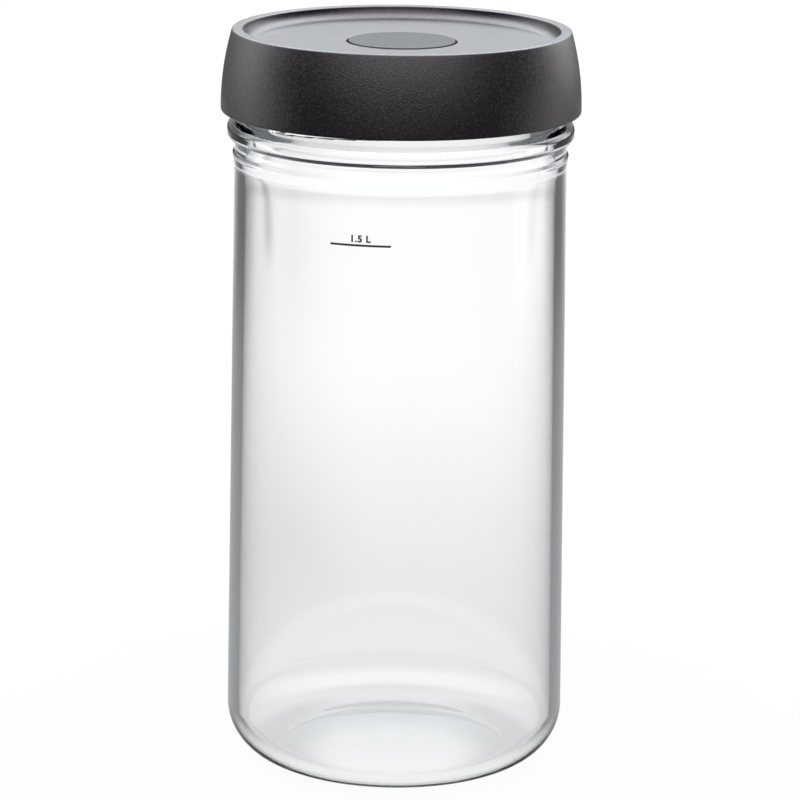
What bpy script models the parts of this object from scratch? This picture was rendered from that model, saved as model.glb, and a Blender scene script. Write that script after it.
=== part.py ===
"""A fermentation jar: a glass jar with a two-start screw neck, and a lid with a sprung vent button.

The jar stands on z = 0 with its axis on Z and the fill line towards -Y. The lid is modelled from the
plane of the jar's rim, and the button from the floor of the lid's recess. Lengths are in metres.
"""

import math

import bmesh
import bpy
from mathutils import Vector

# Fits shared by all pieces
FACE_GAP = 0.0003
OVERRUN = 0.002
SINK = 0.0006
WELD = 0.000001

# Glass jar, outside, with what lies below the rim measured from it
RIM_Z = 0.2356
NECK_R = 0.0545
BODY_TAPER = 0.0022
HEEL_R = 0.0172
FOOT_RING_WIDTH = 0.0020
PUSH_UP_RISE = 0.0026
SHOULDER_PROUD = 0.0006
SHOULDER_SLOPE_HEIGHT = 0.0032
SHOULDER_LAND_HEIGHT = 0.0006
SHOULDER_STEP_HEIGHT = 0.0010
NECK_GROOVE_HEIGHT = 0.0034
BEAD_DROP = 0.0222
BEAD_PROUD = 0.0024
BEAD_HALF_HEIGHT = 0.0034
NECK_STEP_HEIGHT = 0.0018
NECK_STEP_WIDTH = 0.0012

# Glass jar, inside
GLASS_WALL = 0.0036
NECK_WALL = 0.0031
NECK_FLARE_HEIGHT = 0.0060
FLOOR_GLASS = 0.0038
FLOOR_CROWN = 0.0018
RIM_ROUND = 0.0012

# Screw thread, shared by the neck and the lid
THREAD_STARTS = 2
THREAD_LEAD = 0.0120
THREAD_HEIGHT = 0.0014
THREAD_BASE_WIDTH = 0.0028
THREAD_CREST_WIDTH = 0.0013
THREAD_RUN_GAP = 0.0005
THREAD_FLANK_GAP = 0.0004
THREAD_OVER_BEAD = 0.0015
NECK_THREAD_START = math.radians(216)
NECK_THREAD_TURNS_SHARE = 0.9
LID_THREAD_TURNS_SHARE = 0.55
LID_THREAD_LIFT = 0.0022
THREAD_FADE = math.radians(30)

# Lid gasket
GASKET_THICK = 0.0020
GASKET_CHAMFER = 0.0004

# Lid liner
LINER_WALL = 0.0016
LINER_PLATE = 0.0016
LINER_SHORT = 0.0009
LINER_LEAD_IN = 0.0004
GASKET_RIB_WIDTH = 0.0012
GASKET_RIB_DROP = 0.0014
GASKET_RIB_CLEAR = 0.0006
SNAP_PROUD = 0.0005
SNAP_HALF_HEIGHT = 0.0008
SNAP_LIFT = 0.0035
CHAMBER_DEPTH = 0.0092
CHAMBER_WALL = 0.0015
CHAMBER_FLOOR = 0.0016
VENT_COUNT = 6
VENT_R = 0.0013
VENT_WEB = 0.00215

# Lid cover
COVER_OVER_BEAD = 0.0027
COVER_WALL = 0.0019
COVER_PLATE = 0.0020
COVER_BOW_R = 0.0910
COVER_STRAIGHT = 0.0010
COVER_HEM_ROUND = 0.0007
COVER_EDGE_ROUND = 0.0006
RECESS_DEPTH = 0.0040
RECESS_DRAFT = 0.0003
RECESS_FILLET = 0.0036
TOP_RING_WIDTH = 0.0030

# Vent button
BUTTON_R = 0.0176
BUTTON_SIDE_GAP = 0.0005
BUTTON_PROUD = 0.00035
BUTTON_FACE = 0.0018
BUTTON_EDGE_ROUND = 0.0004
BUTTON_SKIRT_WALL = 0.0014
BUTTON_FLANGE = 0.0015
BUTTON_FLANGE_THICK = 0.0012
BUTTON_FLANGE_GAP = 0.0005
BUTTON_TRAVEL = 0.0022
HUB_SHOULDER = 0.0016
STEM_R = 0.0024
STEM_WALL = 0.0011
STEM_GUIDE_GAP = 0.00035
STEM_GROOVE_DEPTH = 0.0005
STEM_GROOVE_HEIGHT = 0.0012
STEM_FOOT = 0.0012
PORT_R = 0.0008

# Valve seal
SEAL_LAND = 0.0010
SEAL_LIP_RISE = 0.0005
SEAL_LIP_WIDTH = 0.0009
SEAL_DISC = 0.0010
SEAL_COLLAR = 0.0004
SEAL_HUB_WALL = 0.0013
SEAL_BASE = 0.0009
SEAL_SLIT_LENGTH = 0.0020
SEAL_SLIT_WIDTH = 0.0004

# Button spring
SPRING_OVER_VENTS = 0.0030
SPRING_WIRE_R = 0.00045
SPRING_TURNS = 4.5
SPRING_TURN_POINTS = 12

# Facets
ROUND_SEGMENTS = 48
BUTTON_SEGMENTS = 36
SMALL_SEGMENTS = 24
VENT_SEGMENTS = 12
SMOOTH_ANGLE = math.radians(35)
QUARTER = math.pi / 2
FULL_TURN = 2 * math.pi

# Places of the jar that follow from its sizes
BODY_FOOT_R = NECK_R + BODY_TAPER
BEAD_Z = RIM_Z - BEAD_DROP
GROOVE_UNDER_Z = BEAD_Z - BEAD_HALF_HEIGHT - NECK_GROOVE_HEIGHT
SHOULDER_LAND_Z = GROOVE_UNDER_Z - SHOULDER_STEP_HEIGHT
SHOULDER_SLOPE_Z = SHOULDER_LAND_Z - SHOULDER_LAND_HEIGHT
BODY_TOP_Z = SHOULDER_SLOPE_Z - SHOULDER_SLOPE_HEIGHT
BEAD_TOP_DROP = BEAD_DROP - BEAD_HALF_HEIGHT
THREAD_START_DROP = BEAD_TOP_DROP - THREAD_OVER_BEAD
THREAD_FIRST_FACET = round(NECK_THREAD_START / FULL_TURN * ROUND_SEGMENTS)
THREAD_ROOT_R = NECK_R - NECK_STEP_WIDTH
NECK_BORE_R = THREAD_ROOT_R - NECK_WALL

# Places that follow from the sizes, in the lid's own frame, whose zero is the jar's rim
LINER_PLATE_UNDER = FACE_GAP + GASKET_THICK + FACE_GAP
LINER_PLATE_TOP = LINER_PLATE_UNDER + LINER_PLATE
COVER_PLATE_UNDER = LINER_PLATE_TOP + FACE_GAP
RECESS_FLOOR = COVER_PLATE_UNDER + COVER_PLATE
LID_TOP = RECESS_FLOOR + RECESS_DEPTH
LID_HEM = COVER_OVER_BEAD - BEAD_TOP_DROP
LINER_HEM = LID_HEM + LINER_SHORT
LID_THREAD_START = LINER_HEM + LID_THREAD_LIFT
LID_THREAD_ROOT_R = THREAD_ROOT_R + THREAD_HEIGHT + THREAD_RUN_GAP
LINER_OUT_R = LID_THREAD_ROOT_R + LINER_WALL
COVER_IN_R = LINER_OUT_R + FACE_GAP
COVER_OUT_R = COVER_IN_R + COVER_WALL
THREAD_OFFSET = (
    (THREAD_BASE_WIDTH + THREAD_CREST_WIDTH) / 2
    - THREAD_RUN_GAP / THREAD_HEIGHT * (THREAD_BASE_WIDTH - THREAD_CREST_WIDTH) / 2
    + THREAD_FLANK_GAP
)
GASKET_RIB_R = NECK_BORE_R - GASKET_RIB_CLEAR - FACE_GAP
BUTTON_HOLE_R = BUTTON_R + BUTTON_SIDE_GAP
FLANGE_R = BUTTON_R + BUTTON_FLANGE
CHAMBER_R = FLANGE_R + BUTTON_FLANGE_GAP
CHAMBER_BED = LINER_PLATE_TOP - CHAMBER_DEPTH
CHAMBER_UNDER = CHAMBER_BED - CHAMBER_FLOOR
STEM_GUIDE_R = STEM_R + STEM_GUIDE_GAP
VENT_RING_R = STEM_GUIDE_R + VENT_WEB + VENT_R
SPRING_R = VENT_RING_R + VENT_R + SPRING_OVER_VENTS

# Places of the button's pieces in the button's own frame, whose zero is the recess floor
BUTTON_UNDER = BUTTON_PROUD - BUTTON_FACE
FLANGE_TOP = COVER_PLATE_UNDER - FACE_GAP - RECESS_FLOOR
FLANGE_UNDER = FLANGE_TOP - BUTTON_FLANGE_THICK
BED_UNDER_BUTTON = CHAMBER_BED - RECESS_FLOOR
HUB_END = BED_UNDER_BUTTON + BUTTON_TRAVEL + FACE_GAP
SEAL_LIP_TOP = CHAMBER_UNDER - RECESS_FLOOR - FACE_GAP
SEAL_DISC_TOP = SEAL_LIP_TOP - SEAL_LIP_RISE
GROOVE_TOP = SEAL_DISC_TOP - SEAL_COLLAR
GROOVE_UNDER = GROOVE_TOP - STEM_GROOVE_HEIGHT
STEM_END = GROOVE_UNDER - STEM_FOOT


def clear_scene():
    """Removes every object of the start-up scene."""
    for thing in list(bpy.data.objects):
        bpy.data.objects.remove(thing, do_unlink=True)


def finish(name, colour, roughness, metallic=0.0, transmission=0.0):
    """A Principled material with the colour, roughness and metal value of one piece."""
    material = bpy.data.materials.new(name)
    material.use_nodes = True
    material.diffuse_color = (*colour, 1.0)
    shader = material.node_tree.nodes["Principled BSDF"]
    shader.inputs["Base Color"].default_value = (*colour, 1.0)
    shader.inputs["Roughness"].default_value = roughness
    shader.inputs["Metallic"].default_value = metallic
    shader.inputs["Transmission Weight"].default_value = transmission
    return material


def seat(name, height, parent=None):
    """An empty on the jar's axis that carries the pieces modelled from its plane."""
    empty = bpy.data.objects.new(name, None)
    empty.location = (0, 0, height)
    empty.parent = parent
    bpy.context.scene.collection.objects.link(empty)
    return empty


def add_object(name, mesh, material=None, parent=None):
    """Links a finished bmesh as an object, its round sides shaded smooth."""
    data = bpy.data.meshes.new(name)
    bmesh.ops.recalc_face_normals(mesh, faces=mesh.faces)
    mesh.to_mesh(data)
    mesh.free()
    data.shade_smooth()
    data.set_sharp_from_angle(angle=SMOOTH_ANGLE)
    if material:
        data.materials.append(material)
    thing = bpy.data.objects.new(name, data)
    thing.parent = parent
    bpy.context.scene.collection.objects.link(thing)
    return thing


def as_cutter(thing):
    """Marks an object as a tool of a Boolean, which is no piece of its own."""
    thing.hide_render = True
    thing.display_type = "WIRE"
    return thing


def combine(target, tool, operation):
    """Joins a tool to the target, or cuts it away, with an exact Boolean."""
    modifier = target.modifiers.new(f"{operation.lower()}_{tool.name}", "BOOLEAN")
    modifier.operation = operation
    modifier.solver = "EXACT"
    modifier.object = as_cutter(tool)


def turned(name, outline, segments, material, parent=None):
    """Turns a closed outline of (radius, height) points about the Z axis.

    An outline that reaches the axis starts and ends on it, and is closed there by the turning.
    """
    mesh = bmesh.new()
    corners = [mesh.verts.new((radius, 0, height)) for radius, height in outline]
    on_axis = outline[0][0] == 0 and outline[-1][0] == 0
    ends = corners[1:] if on_axis else corners[1:] + corners[:1]
    edges = [mesh.edges.new(pair) for pair in zip(corners, ends)]
    bmesh.ops.spin(
        mesh,
        geom=corners + edges,
        cent=(0, 0, 0),
        axis=(0, 0, 1),
        angle=FULL_TURN,
        steps=segments,
        use_merge=True,
    )
    bmesh.ops.remove_doubles(mesh, verts=mesh.verts, dist=WELD)
    return add_object(name, mesh, material, parent)


def arc(centre_r, centre_z, radius, start, end, steps):
    """Points of a round stretch of an outline, from angle start to angle end, both included."""
    turns = [start + (end - start) * step / steps for step in range(steps + 1)]
    return [(centre_r + radius * math.cos(turn), centre_z + radius * math.sin(turn)) for turn in turns]


def swell(base_r, centre_z, proud, half_height, steps, upward=True):
    """Points of a rounded bead that stands proud of a wall, from its lower end or its upper one."""
    shares = [2 * step / steps - 1 for step in range(steps + 1)]
    if not upward:
        shares.reverse()
    return [
        (base_r + proud * math.cos(share * QUARTER), centre_z + half_height * math.sin(share * QUARTER))
        for share in shares
    ]


def dome(foot_r, foot_z, rise, steps):
    """Points of a shallow dome, one arc from its crown on the axis out to its foot."""
    radius = (foot_r**2 + rise**2) / (2 * rise)
    reach = math.asin(foot_r / radius)
    return [(0, foot_z + rise)] + arc(0, foot_z + rise - radius, radius, QUARTER, QUARTER - reach, steps)[1:]


def thread_ridge(name, root_r, height, first_facet, start_z, turns_share, parent=None):
    """One start of the thread: a ridge that climbs anticlockwise on a wall of radius root_r.

    A negative height makes the ridge stand inwards. Its foot is sunk in the wall, and at both ends
    the ridge dies away into it. Its sections lie half a facet off the edges of the turned wall.
    """
    mesh = bmesh.new()
    outward = math.copysign(1, height)
    steps = round(turns_share * ROUND_SEGMENTS)
    rows = []
    for step in range(steps + 1):
        turned_by = FULL_TURN * step / ROUND_SEGMENTS
        left_over = FULL_TURN * (steps - step) / ROUND_SEGMENTS
        share = min(1, turned_by / THREAD_FADE, left_over / THREAD_FADE)
        crest_r = root_r + height * share - outward * (1 - share) * SINK / 2
        middle = start_z + THREAD_LEAD * (step + 1 / 2) / ROUND_SEGMENTS
        angle = FULL_TURN * (first_facet + step + 1 / 2) / ROUND_SEGMENTS
        section = [
            (root_r - outward * SINK, middle - THREAD_BASE_WIDTH / 2),
            (crest_r, middle - THREAD_CREST_WIDTH / 2),
            (crest_r, middle + THREAD_CREST_WIDTH / 2),
            (root_r - outward * SINK, middle + THREAD_BASE_WIDTH / 2),
        ]
        rows.append([mesh.verts.new((r * math.cos(angle), r * math.sin(angle), z)) for r, z in section])
    for near, far in zip(rows, rows[1:]):
        for corner in range(len(near)):
            beside = (corner + 1) % len(near)
            mesh.faces.new((near[corner], near[beside], far[beside], far[corner]))
    mesh.faces.new(rows[0])
    mesh.faces.new(rows[-1])
    bmesh.ops.triangulate(mesh, faces=mesh.faces)
    return add_object(name, mesh, parent=parent)


def rod(name, radius, low, high, segments, place=(0, 0), parent=None):
    """An upright cutter of round section between two heights."""
    mesh = bmesh.new()
    bmesh.ops.create_cone(
        mesh, cap_ends=True, segments=segments, radius1=radius, radius2=radius, depth=high - low
    )
    bmesh.ops.translate(mesh, verts=mesh.verts, vec=(*place, (low + high) / 2))
    return add_object(name, mesh, parent=parent)


def glass_outside():
    """The outline of the jar's outer face, from the axis under the floor to the top of the rim."""
    foot_r = BODY_FOOT_R - HEEL_R
    shoulder_r = NECK_R + SHOULDER_PROUD
    outline = dome(foot_r - FOOT_RING_WIDTH, 0, PUSH_UP_RISE, 3)
    outline += arc(foot_r, HEEL_R, HEEL_R, -QUARTER, 0, 7)
    outline += [(NECK_R, BODY_TOP_Z), (shoulder_r, SHOULDER_SLOPE_Z)]
    outline += [(shoulder_r, SHOULDER_LAND_Z), (NECK_R, GROOVE_UNDER_Z)]
    outline += swell(NECK_R, BEAD_Z, BEAD_PROUD, BEAD_HALF_HEIGHT, 6)
    outline += [(THREAD_ROOT_R, RIM_Z - BEAD_TOP_DROP + NECK_STEP_HEIGHT)]
    outline += arc(THREAD_ROOT_R - RIM_ROUND, RIM_Z - RIM_ROUND, RIM_ROUND, 0, QUARTER, 3)
    return outline


def glass_inside():
    """The outline of the jar's inner face, from the top of the rim to the axis on the floor."""
    body_in_r = NECK_R - GLASS_WALL
    foot_in_r = BODY_FOOT_R - GLASS_WALL
    heel_in_r = HEEL_R - GLASS_WALL
    outline = arc(NECK_BORE_R + RIM_ROUND, RIM_Z - RIM_ROUND, RIM_ROUND, QUARTER, 2 * QUARTER, 3)
    outline += [(NECK_BORE_R, BODY_TOP_Z + NECK_FLARE_HEIGHT), (body_in_r, BODY_TOP_Z)]
    floor_r = foot_in_r - heel_in_r
    outline += arc(floor_r, FLOOR_GLASS + heel_in_r, heel_in_r, 0, -QUARTER, 5)
    crown = dome(floor_r, FLOOR_GLASS, FLOOR_CROWN, 3)
    crown.reverse()
    return outline + crown[1:]


def build_jar():
    """The glass jar, with the thread's two starts standing on its neck."""
    glass = finish("glass", (0.86, 0.90, 0.90), 0.04, transmission=1.0)
    jar = turned("glass_jar", glass_outside() + glass_inside(), ROUND_SEGMENTS, glass)
    for start in range(THREAD_STARTS):
        ridge = thread_ridge(
            f"neck_thread_{start}",
            THREAD_ROOT_R,
            THREAD_HEIGHT,
            THREAD_FIRST_FACET + start * ROUND_SEGMENTS // THREAD_STARTS,
            RIM_Z - THREAD_START_DROP,
            NECK_THREAD_TURNS_SHARE,
        )
        combine(jar, ridge, "UNION")
    return jar


def bow(height):
    """How far the lid's side has drawn in at a height, along its one long arc."""
    rise = max(0, height - LID_HEM - COVER_STRAIGHT)
    return COVER_BOW_R - math.sqrt(COVER_BOW_R**2 - rise**2)


def side(radius, low, high, steps):
    """Points up a side of the lid that follows its bow, from a low height to a high one."""
    heights = [low + (high - low) * step / steps for step in range(steps + 1)]
    return [(radius - bow(height), height) for height in heights]


def build_cover(parent):
    """The lid's outer cover: a bowed skirt, a flat top ring, a recess, and the button's hole."""
    snap_z = LINER_HEM + SNAP_LIFT
    edge_z = LID_TOP - COVER_EDGE_ROUND
    edge_r = COVER_OUT_R - bow(edge_z) - COVER_EDGE_ROUND
    recess_r = edge_r - TOP_RING_WIDTH
    fillet_r = recess_r - RECESS_DRAFT - RECESS_FILLET
    outline = arc(
        COVER_OUT_R - COVER_HEM_ROUND, LID_HEM + COVER_HEM_ROUND, COVER_HEM_ROUND, -QUARTER, 0, 2
    )
    outline += side(COVER_OUT_R, LID_HEM + COVER_STRAIGHT, edge_z, 7)
    outline += arc(edge_r, edge_z, COVER_EDGE_ROUND, 0, QUARTER, 2)[1:]
    outline += [(recess_r, LID_TOP)]
    outline += arc(fillet_r, RECESS_FLOOR + RECESS_FILLET, RECESS_FILLET, 0, -QUARTER, 5)
    outline += [(BUTTON_HOLE_R, RECESS_FLOOR), (BUTTON_HOLE_R, COVER_PLATE_UNDER)]
    inner = side(COVER_IN_R, snap_z + SNAP_HALF_HEIGHT + FACE_GAP, COVER_PLATE_UNDER, 4)
    inner.reverse()
    outline += inner
    outline += swell(COVER_IN_R, snap_z, SNAP_PROUD, SNAP_HALF_HEIGHT, 4, upward=False)[1:]
    outline += [(COVER_IN_R, LID_HEM)]
    satin = finish("satin_plastic", (0.022, 0.021, 0.022), 0.42)
    return turned("lid_cover", outline, ROUND_SEGMENTS, satin, parent)


def liner_skirt_outline():
    """The liner's outer side, hem and threaded inner side, from its top edge to the gasket seat."""
    snap_z = LINER_HEM + SNAP_LIFT
    outer = side(LINER_OUT_R, snap_z + SNAP_HALF_HEIGHT, LINER_PLATE_TOP, 4)
    outer.reverse()
    outer += swell(LINER_OUT_R, snap_z, SNAP_PROUD, SNAP_HALF_HEIGHT, 4, upward=False)[1:]
    hem = [(LINER_OUT_R, LINER_HEM), (LID_THREAD_ROOT_R + LINER_LEAD_IN, LINER_HEM)]
    hem += [(LID_THREAD_ROOT_R, LINER_HEM + LINER_LEAD_IN)]
    thread_top = LID_THREAD_START + THREAD_LEAD * LID_THREAD_TURNS_SHARE + THREAD_BASE_WIDTH
    inner = [(LID_THREAD_ROOT_R, thread_top)]
    inner += [(LINER_OUT_R - bow(LINER_PLATE_UNDER) - LINER_WALL, LINER_PLATE_UNDER)]
    return outer + hem + inner


def build_liner(parent):
    """The lid's threaded liner, with the gasket's rib and the chamber that holds the valve."""
    outline = [(STEM_GUIDE_R, CHAMBER_UNDER), (STEM_GUIDE_R, CHAMBER_BED)]
    outline += [(CHAMBER_R, CHAMBER_BED), (CHAMBER_R, LINER_PLATE_TOP)]
    outline += liner_skirt_outline()
    rib_in_r = GASKET_RIB_R - GASKET_RIB_WIDTH
    rib_under = LINER_PLATE_UNDER - GASKET_RIB_DROP
    outline += [(GASKET_RIB_R, LINER_PLATE_UNDER), (GASKET_RIB_R, rib_under)]
    outline += [(rib_in_r, rib_under), (rib_in_r, LINER_PLATE_UNDER)]
    outline += [(CHAMBER_R + CHAMBER_WALL, LINER_PLATE_UNDER), (CHAMBER_R + CHAMBER_WALL, CHAMBER_UNDER)]
    plastic = finish("liner_plastic", (0.035, 0.034, 0.035), 0.5)
    liner = turned("lid_liner", outline, ROUND_SEGMENTS, plastic, parent)
    climb = LID_THREAD_START + THREAD_OFFSET + THREAD_START_DROP
    facets_on = round(climb / THREAD_LEAD * ROUND_SEGMENTS)
    start_z = THREAD_LEAD * facets_on / ROUND_SEGMENTS - THREAD_START_DROP - THREAD_OFFSET
    for start in range(THREAD_STARTS):
        ridge = thread_ridge(
            f"lid_thread_{start}",
            LID_THREAD_ROOT_R,
            -THREAD_HEIGHT,
            THREAD_FIRST_FACET + facets_on + start * ROUND_SEGMENTS // THREAD_STARTS,
            start_z,
            LID_THREAD_TURNS_SHARE,
            parent,
        )
        combine(liner, ridge, "UNION")
    for vent in range(VENT_COUNT):
        angle = FULL_TURN * vent / VENT_COUNT
        place = (VENT_RING_R * math.cos(angle), VENT_RING_R * math.sin(angle))
        low = CHAMBER_UNDER - OVERRUN
        high = CHAMBER_BED + OVERRUN
        hole = rod(f"vent_hole_{vent}", VENT_R, low, high, VENT_SEGMENTS, place, parent)
        combine(liner, hole, "DIFFERENCE")
    return liner


def build_gasket(parent):
    """The silicone ring between the jar's rim and the liner, held by the liner's rib."""
    in_r = GASKET_RIB_R + FACE_GAP
    out_r = LINER_OUT_R - bow(LINER_PLATE_UNDER) - LINER_WALL - FACE_GAP
    under = FACE_GAP
    top = under + GASKET_THICK
    outline = [
        (in_r, under + GASKET_CHAMFER),
        (in_r + GASKET_CHAMFER, under),
        (out_r - GASKET_CHAMFER, under),
        (out_r, under + GASKET_CHAMFER),
        (out_r, top),
        (in_r, top),
    ]
    silicone = finish("gasket_silicone", (0.62, 0.63, 0.62), 0.55)
    return turned("lid_gasket", outline, ROUND_SEGMENTS, silicone, parent)


def build_button(parent):
    """The vent button: a round face, a flanged skirt that the cover holds, and a hollow stem."""
    edge_r = BUTTON_R - BUTTON_EDGE_ROUND
    skirt_in_r = BUTTON_R - BUTTON_SKIRT_WALL
    hub_r = STEM_R + HUB_SHOULDER
    groove_r = STEM_R - STEM_GROOVE_DEPTH
    bore_r = STEM_R - STEM_WALL
    bore_top = BUTTON_UNDER - BUTTON_FACE
    outline = [(0, BUTTON_PROUD)]
    outline += arc(edge_r, BUTTON_PROUD - BUTTON_EDGE_ROUND, BUTTON_EDGE_ROUND, QUARTER, 0, 2)
    outline += [(BUTTON_R, FLANGE_TOP), (FLANGE_R, FLANGE_TOP)]
    outline += [(FLANGE_R, FLANGE_UNDER), (skirt_in_r, FLANGE_UNDER)]
    outline += [(skirt_in_r, BUTTON_UNDER), (hub_r, BUTTON_UNDER)]
    outline += [(hub_r, HUB_END), (STEM_R, HUB_END)]
    outline += [(STEM_R, GROOVE_TOP), (groove_r, GROOVE_TOP)]
    outline += [(groove_r, GROOVE_UNDER), (STEM_R, GROOVE_UNDER)]
    outline += [(STEM_R, STEM_END), (bore_r, STEM_END)]
    outline += [(bore_r, bore_top), (0, bore_top)]
    matte = finish("button_plastic", (0.030, 0.030, 0.031), 0.6)
    button = turned("vent_button", outline, BUTTON_SEGMENTS, matte, parent)
    port = rod("gas_port", PORT_R, 0, hub_r + OVERRUN, VENT_SEGMENTS, parent=parent)
    port.rotation_euler = (0, QUARTER, 0)
    port.location = (0, 0, bore_top - PORT_R - FACE_GAP)
    combine(button, port, "DIFFERENCE")
    return button


def build_seal(parent):
    """The silicone valve seal on the stem's foot: a lipped disc under the vents, with a slit."""
    lip_in_r = VENT_RING_R + VENT_R + SEAL_LAND
    lip_out_r = lip_in_r + SEAL_LIP_WIDTH
    disc_under = SEAL_DISC_TOP - SEAL_DISC
    grip_top = GROOVE_TOP - FACE_GAP
    grip_under = GROOVE_UNDER + FACE_GAP
    bore_r = STEM_R + FACE_GAP
    grip_r = bore_r - STEM_GROOVE_DEPTH
    hub_r = bore_r + SEAL_HUB_WALL
    floor_top = STEM_END - FACE_GAP
    floor_under = floor_top - SEAL_BASE
    outline = [(0, floor_under), (hub_r, floor_under), (hub_r, disc_under)]
    outline += [(lip_out_r, disc_under), (lip_out_r, SEAL_LIP_TOP), (lip_in_r, SEAL_LIP_TOP)]
    outline += [(lip_in_r, SEAL_DISC_TOP), (bore_r, SEAL_DISC_TOP)]
    outline += [(bore_r, grip_top), (grip_r, grip_top), (grip_r, grip_under), (bore_r, grip_under)]
    outline += [(bore_r, floor_top), (0, floor_top)]
    silicone = finish("valve_silicone", (0.70, 0.71, 0.70), 0.5)
    seal = turned("valve_seal", outline, SMALL_SEGMENTS, silicone, parent)
    mesh = bmesh.new()
    bmesh.ops.create_cube(mesh, size=1)
    slit_size = Vector((SEAL_SLIT_LENGTH, SEAL_SLIT_WIDTH, SEAL_BASE + OVERRUN))
    bmesh.ops.scale(mesh, vec=slit_size, verts=mesh.verts)
    slit = add_object("relief_slit", mesh, parent=parent)
    slit.location = (0, 0, (floor_top + floor_under) / 2)
    combine(seal, slit, "DIFFERENCE")
    return seal


def least_gap(points, neighbours):
    """The least distance between stretches of the wire that are a part of a turn or more apart."""
    gaps = []
    for index, point in enumerate(points):
        gaps += [(point - other).length for other in points[index + neighbours :]]
    return min(gaps)


def build_spring(parent):
    """The compression spring between the chamber's bed and the underside of the button."""
    low = BED_UNDER_BUTTON + FACE_GAP + SPRING_WIRE_R
    high = BUTTON_UNDER - FACE_GAP - SPRING_WIRE_R
    count = round(SPRING_TURNS * SPRING_TURN_POINTS)
    points = []
    for step in range(count + 1):
        angle = FULL_TURN * step / SPRING_TURN_POINTS
        height = low + (high - low) * step / count
        points.append(Vector((SPRING_R * math.cos(angle), SPRING_R * math.sin(angle), height)))
    curve = bpy.data.curves.new("button_spring", "CURVE")
    curve.dimensions = "3D"
    curve.bevel_depth = SPRING_WIRE_R
    curve.bevel_resolution = 1
    curve.use_fill_caps = True
    spline = curve.splines.new("POLY")
    spline.points.add(count)
    for knot, point in zip(spline.points, points):
        knot.co = (*point, 1)
    curve.materials.append(finish("spring_steel", (0.62, 0.62, 0.60), 0.3, metallic=1.0))
    spring = bpy.data.objects.new("button_spring", curve)
    spring.parent = parent
    bpy.context.scene.collection.objects.link(spring)
    gap = least_gap(points, SPRING_TURN_POINTS // 2) - 2 * SPRING_WIRE_R
    print(f"button_spring: least gap between turns {gap * 1000:.2f} mm")
    return spring


def main():
    """Builds every piece, the lid's on the plane of the rim and the button's on the recess floor."""
    clear_scene()
    build_jar()
    lid_seat = seat("lid_seat", RIM_Z)
    build_gasket(lid_seat)
    build_liner(lid_seat)
    build_cover(lid_seat)
    button_seat = seat("button_seat", RECESS_FLOOR, lid_seat)
    build_button(button_seat)
    build_spring(button_seat)
    build_seal(button_seat)


main()
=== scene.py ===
"""The looks of a fermentation jar: clear pressed glass with a fill mark, and a black lid with a vent button.

Every piece is turned about the jar's axis in metres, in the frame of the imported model: the foot ring
stands on z = 0, +Z runs up the axis and the fill mark faces -Y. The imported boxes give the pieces' main
sizes and places, and the fields of each class give the rest.
"""

import logging
import math
from collections.abc import Callable
from dataclasses import dataclass
from enum import Enum
from typing import ClassVar

import bmesh
import bpy
import numpy as np
from mathutils import Matrix, Vector


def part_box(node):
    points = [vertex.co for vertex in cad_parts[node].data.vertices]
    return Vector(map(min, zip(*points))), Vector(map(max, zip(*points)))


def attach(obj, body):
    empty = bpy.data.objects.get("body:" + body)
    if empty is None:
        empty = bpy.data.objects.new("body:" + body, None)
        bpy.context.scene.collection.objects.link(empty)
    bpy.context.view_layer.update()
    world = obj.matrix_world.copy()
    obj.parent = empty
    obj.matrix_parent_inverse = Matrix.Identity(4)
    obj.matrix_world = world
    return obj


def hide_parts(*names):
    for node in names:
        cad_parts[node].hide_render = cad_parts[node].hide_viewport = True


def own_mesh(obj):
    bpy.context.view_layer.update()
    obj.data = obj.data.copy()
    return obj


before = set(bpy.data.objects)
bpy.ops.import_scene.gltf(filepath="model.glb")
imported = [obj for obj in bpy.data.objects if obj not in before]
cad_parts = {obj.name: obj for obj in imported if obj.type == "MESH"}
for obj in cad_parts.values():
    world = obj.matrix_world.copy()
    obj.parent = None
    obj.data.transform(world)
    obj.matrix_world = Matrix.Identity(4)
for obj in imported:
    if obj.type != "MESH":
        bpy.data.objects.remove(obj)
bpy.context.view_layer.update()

LOG = logging.getLogger("fermentation_jar")

FULL_TURN = 2 * math.pi
QUARTER = math.pi / 2
ROUND_STEP = math.radians(8)
SHARP = math.radians(42)
ON_AXIS = 1e-9
WELD = 1e-7

# Fits between the lid's pieces, in metres
LINER_SHORT = 0.0009
SNAP_LIFT = 0.0035
BUTTON_GAP = 0.0005
SEAL_GAP = 0.0003
BUTTON_TRAVEL = 0.0022

# The liner's thread: its room round the neck's, its start over the hem, its length, depth and reach
THREAD_ROOM = 0.0019
LID_THREAD_LIFT = 0.0022
LID_THREAD_TURNS = 0.55
LID_THREAD_HEIGHT = -0.0014
LID_THREAD_REACH = 0.0003

# Radii of moulded edges, and the greatest stretch on a flat face, in metres
CRISP = 0.0001
FINE = 0.0002
BROKEN = 0.0003
SOFT = 0.0005
FLAT_SPAN = 0.004

Thing = bpy.types.Object
Socket = bpy.types.NodeSocket
Mesh = bmesh.types.BMesh
Colour = tuple[float, float, float]
Outline = list[tuple[float, float]]
Pieces = list[Thing]
Relief = Callable[[np.ndarray, np.ndarray, np.ndarray], np.ndarray]
# Where a ramp starts and ends, and what it gives there if that isn't 0 and 1
Ramp = tuple[float, ...]


class Body(Enum):
    """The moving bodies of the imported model."""

    JAR = "jar"
    SEAL = "seal"
    LID = "lid"
    BUTTON = "button"


class Slot(Enum):
    """The record's material slots."""

    GLASS = "jar_glass"
    GASKET = "gasket_silicone"
    LINER = "liner_plastic"
    COVER = "cover_plastic"
    BUTTON = "button_plastic"
    SPRING = "spring_steel"
    VALVE = "valve_silicone"
    INK = "print_ink"


# Shader maths


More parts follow.
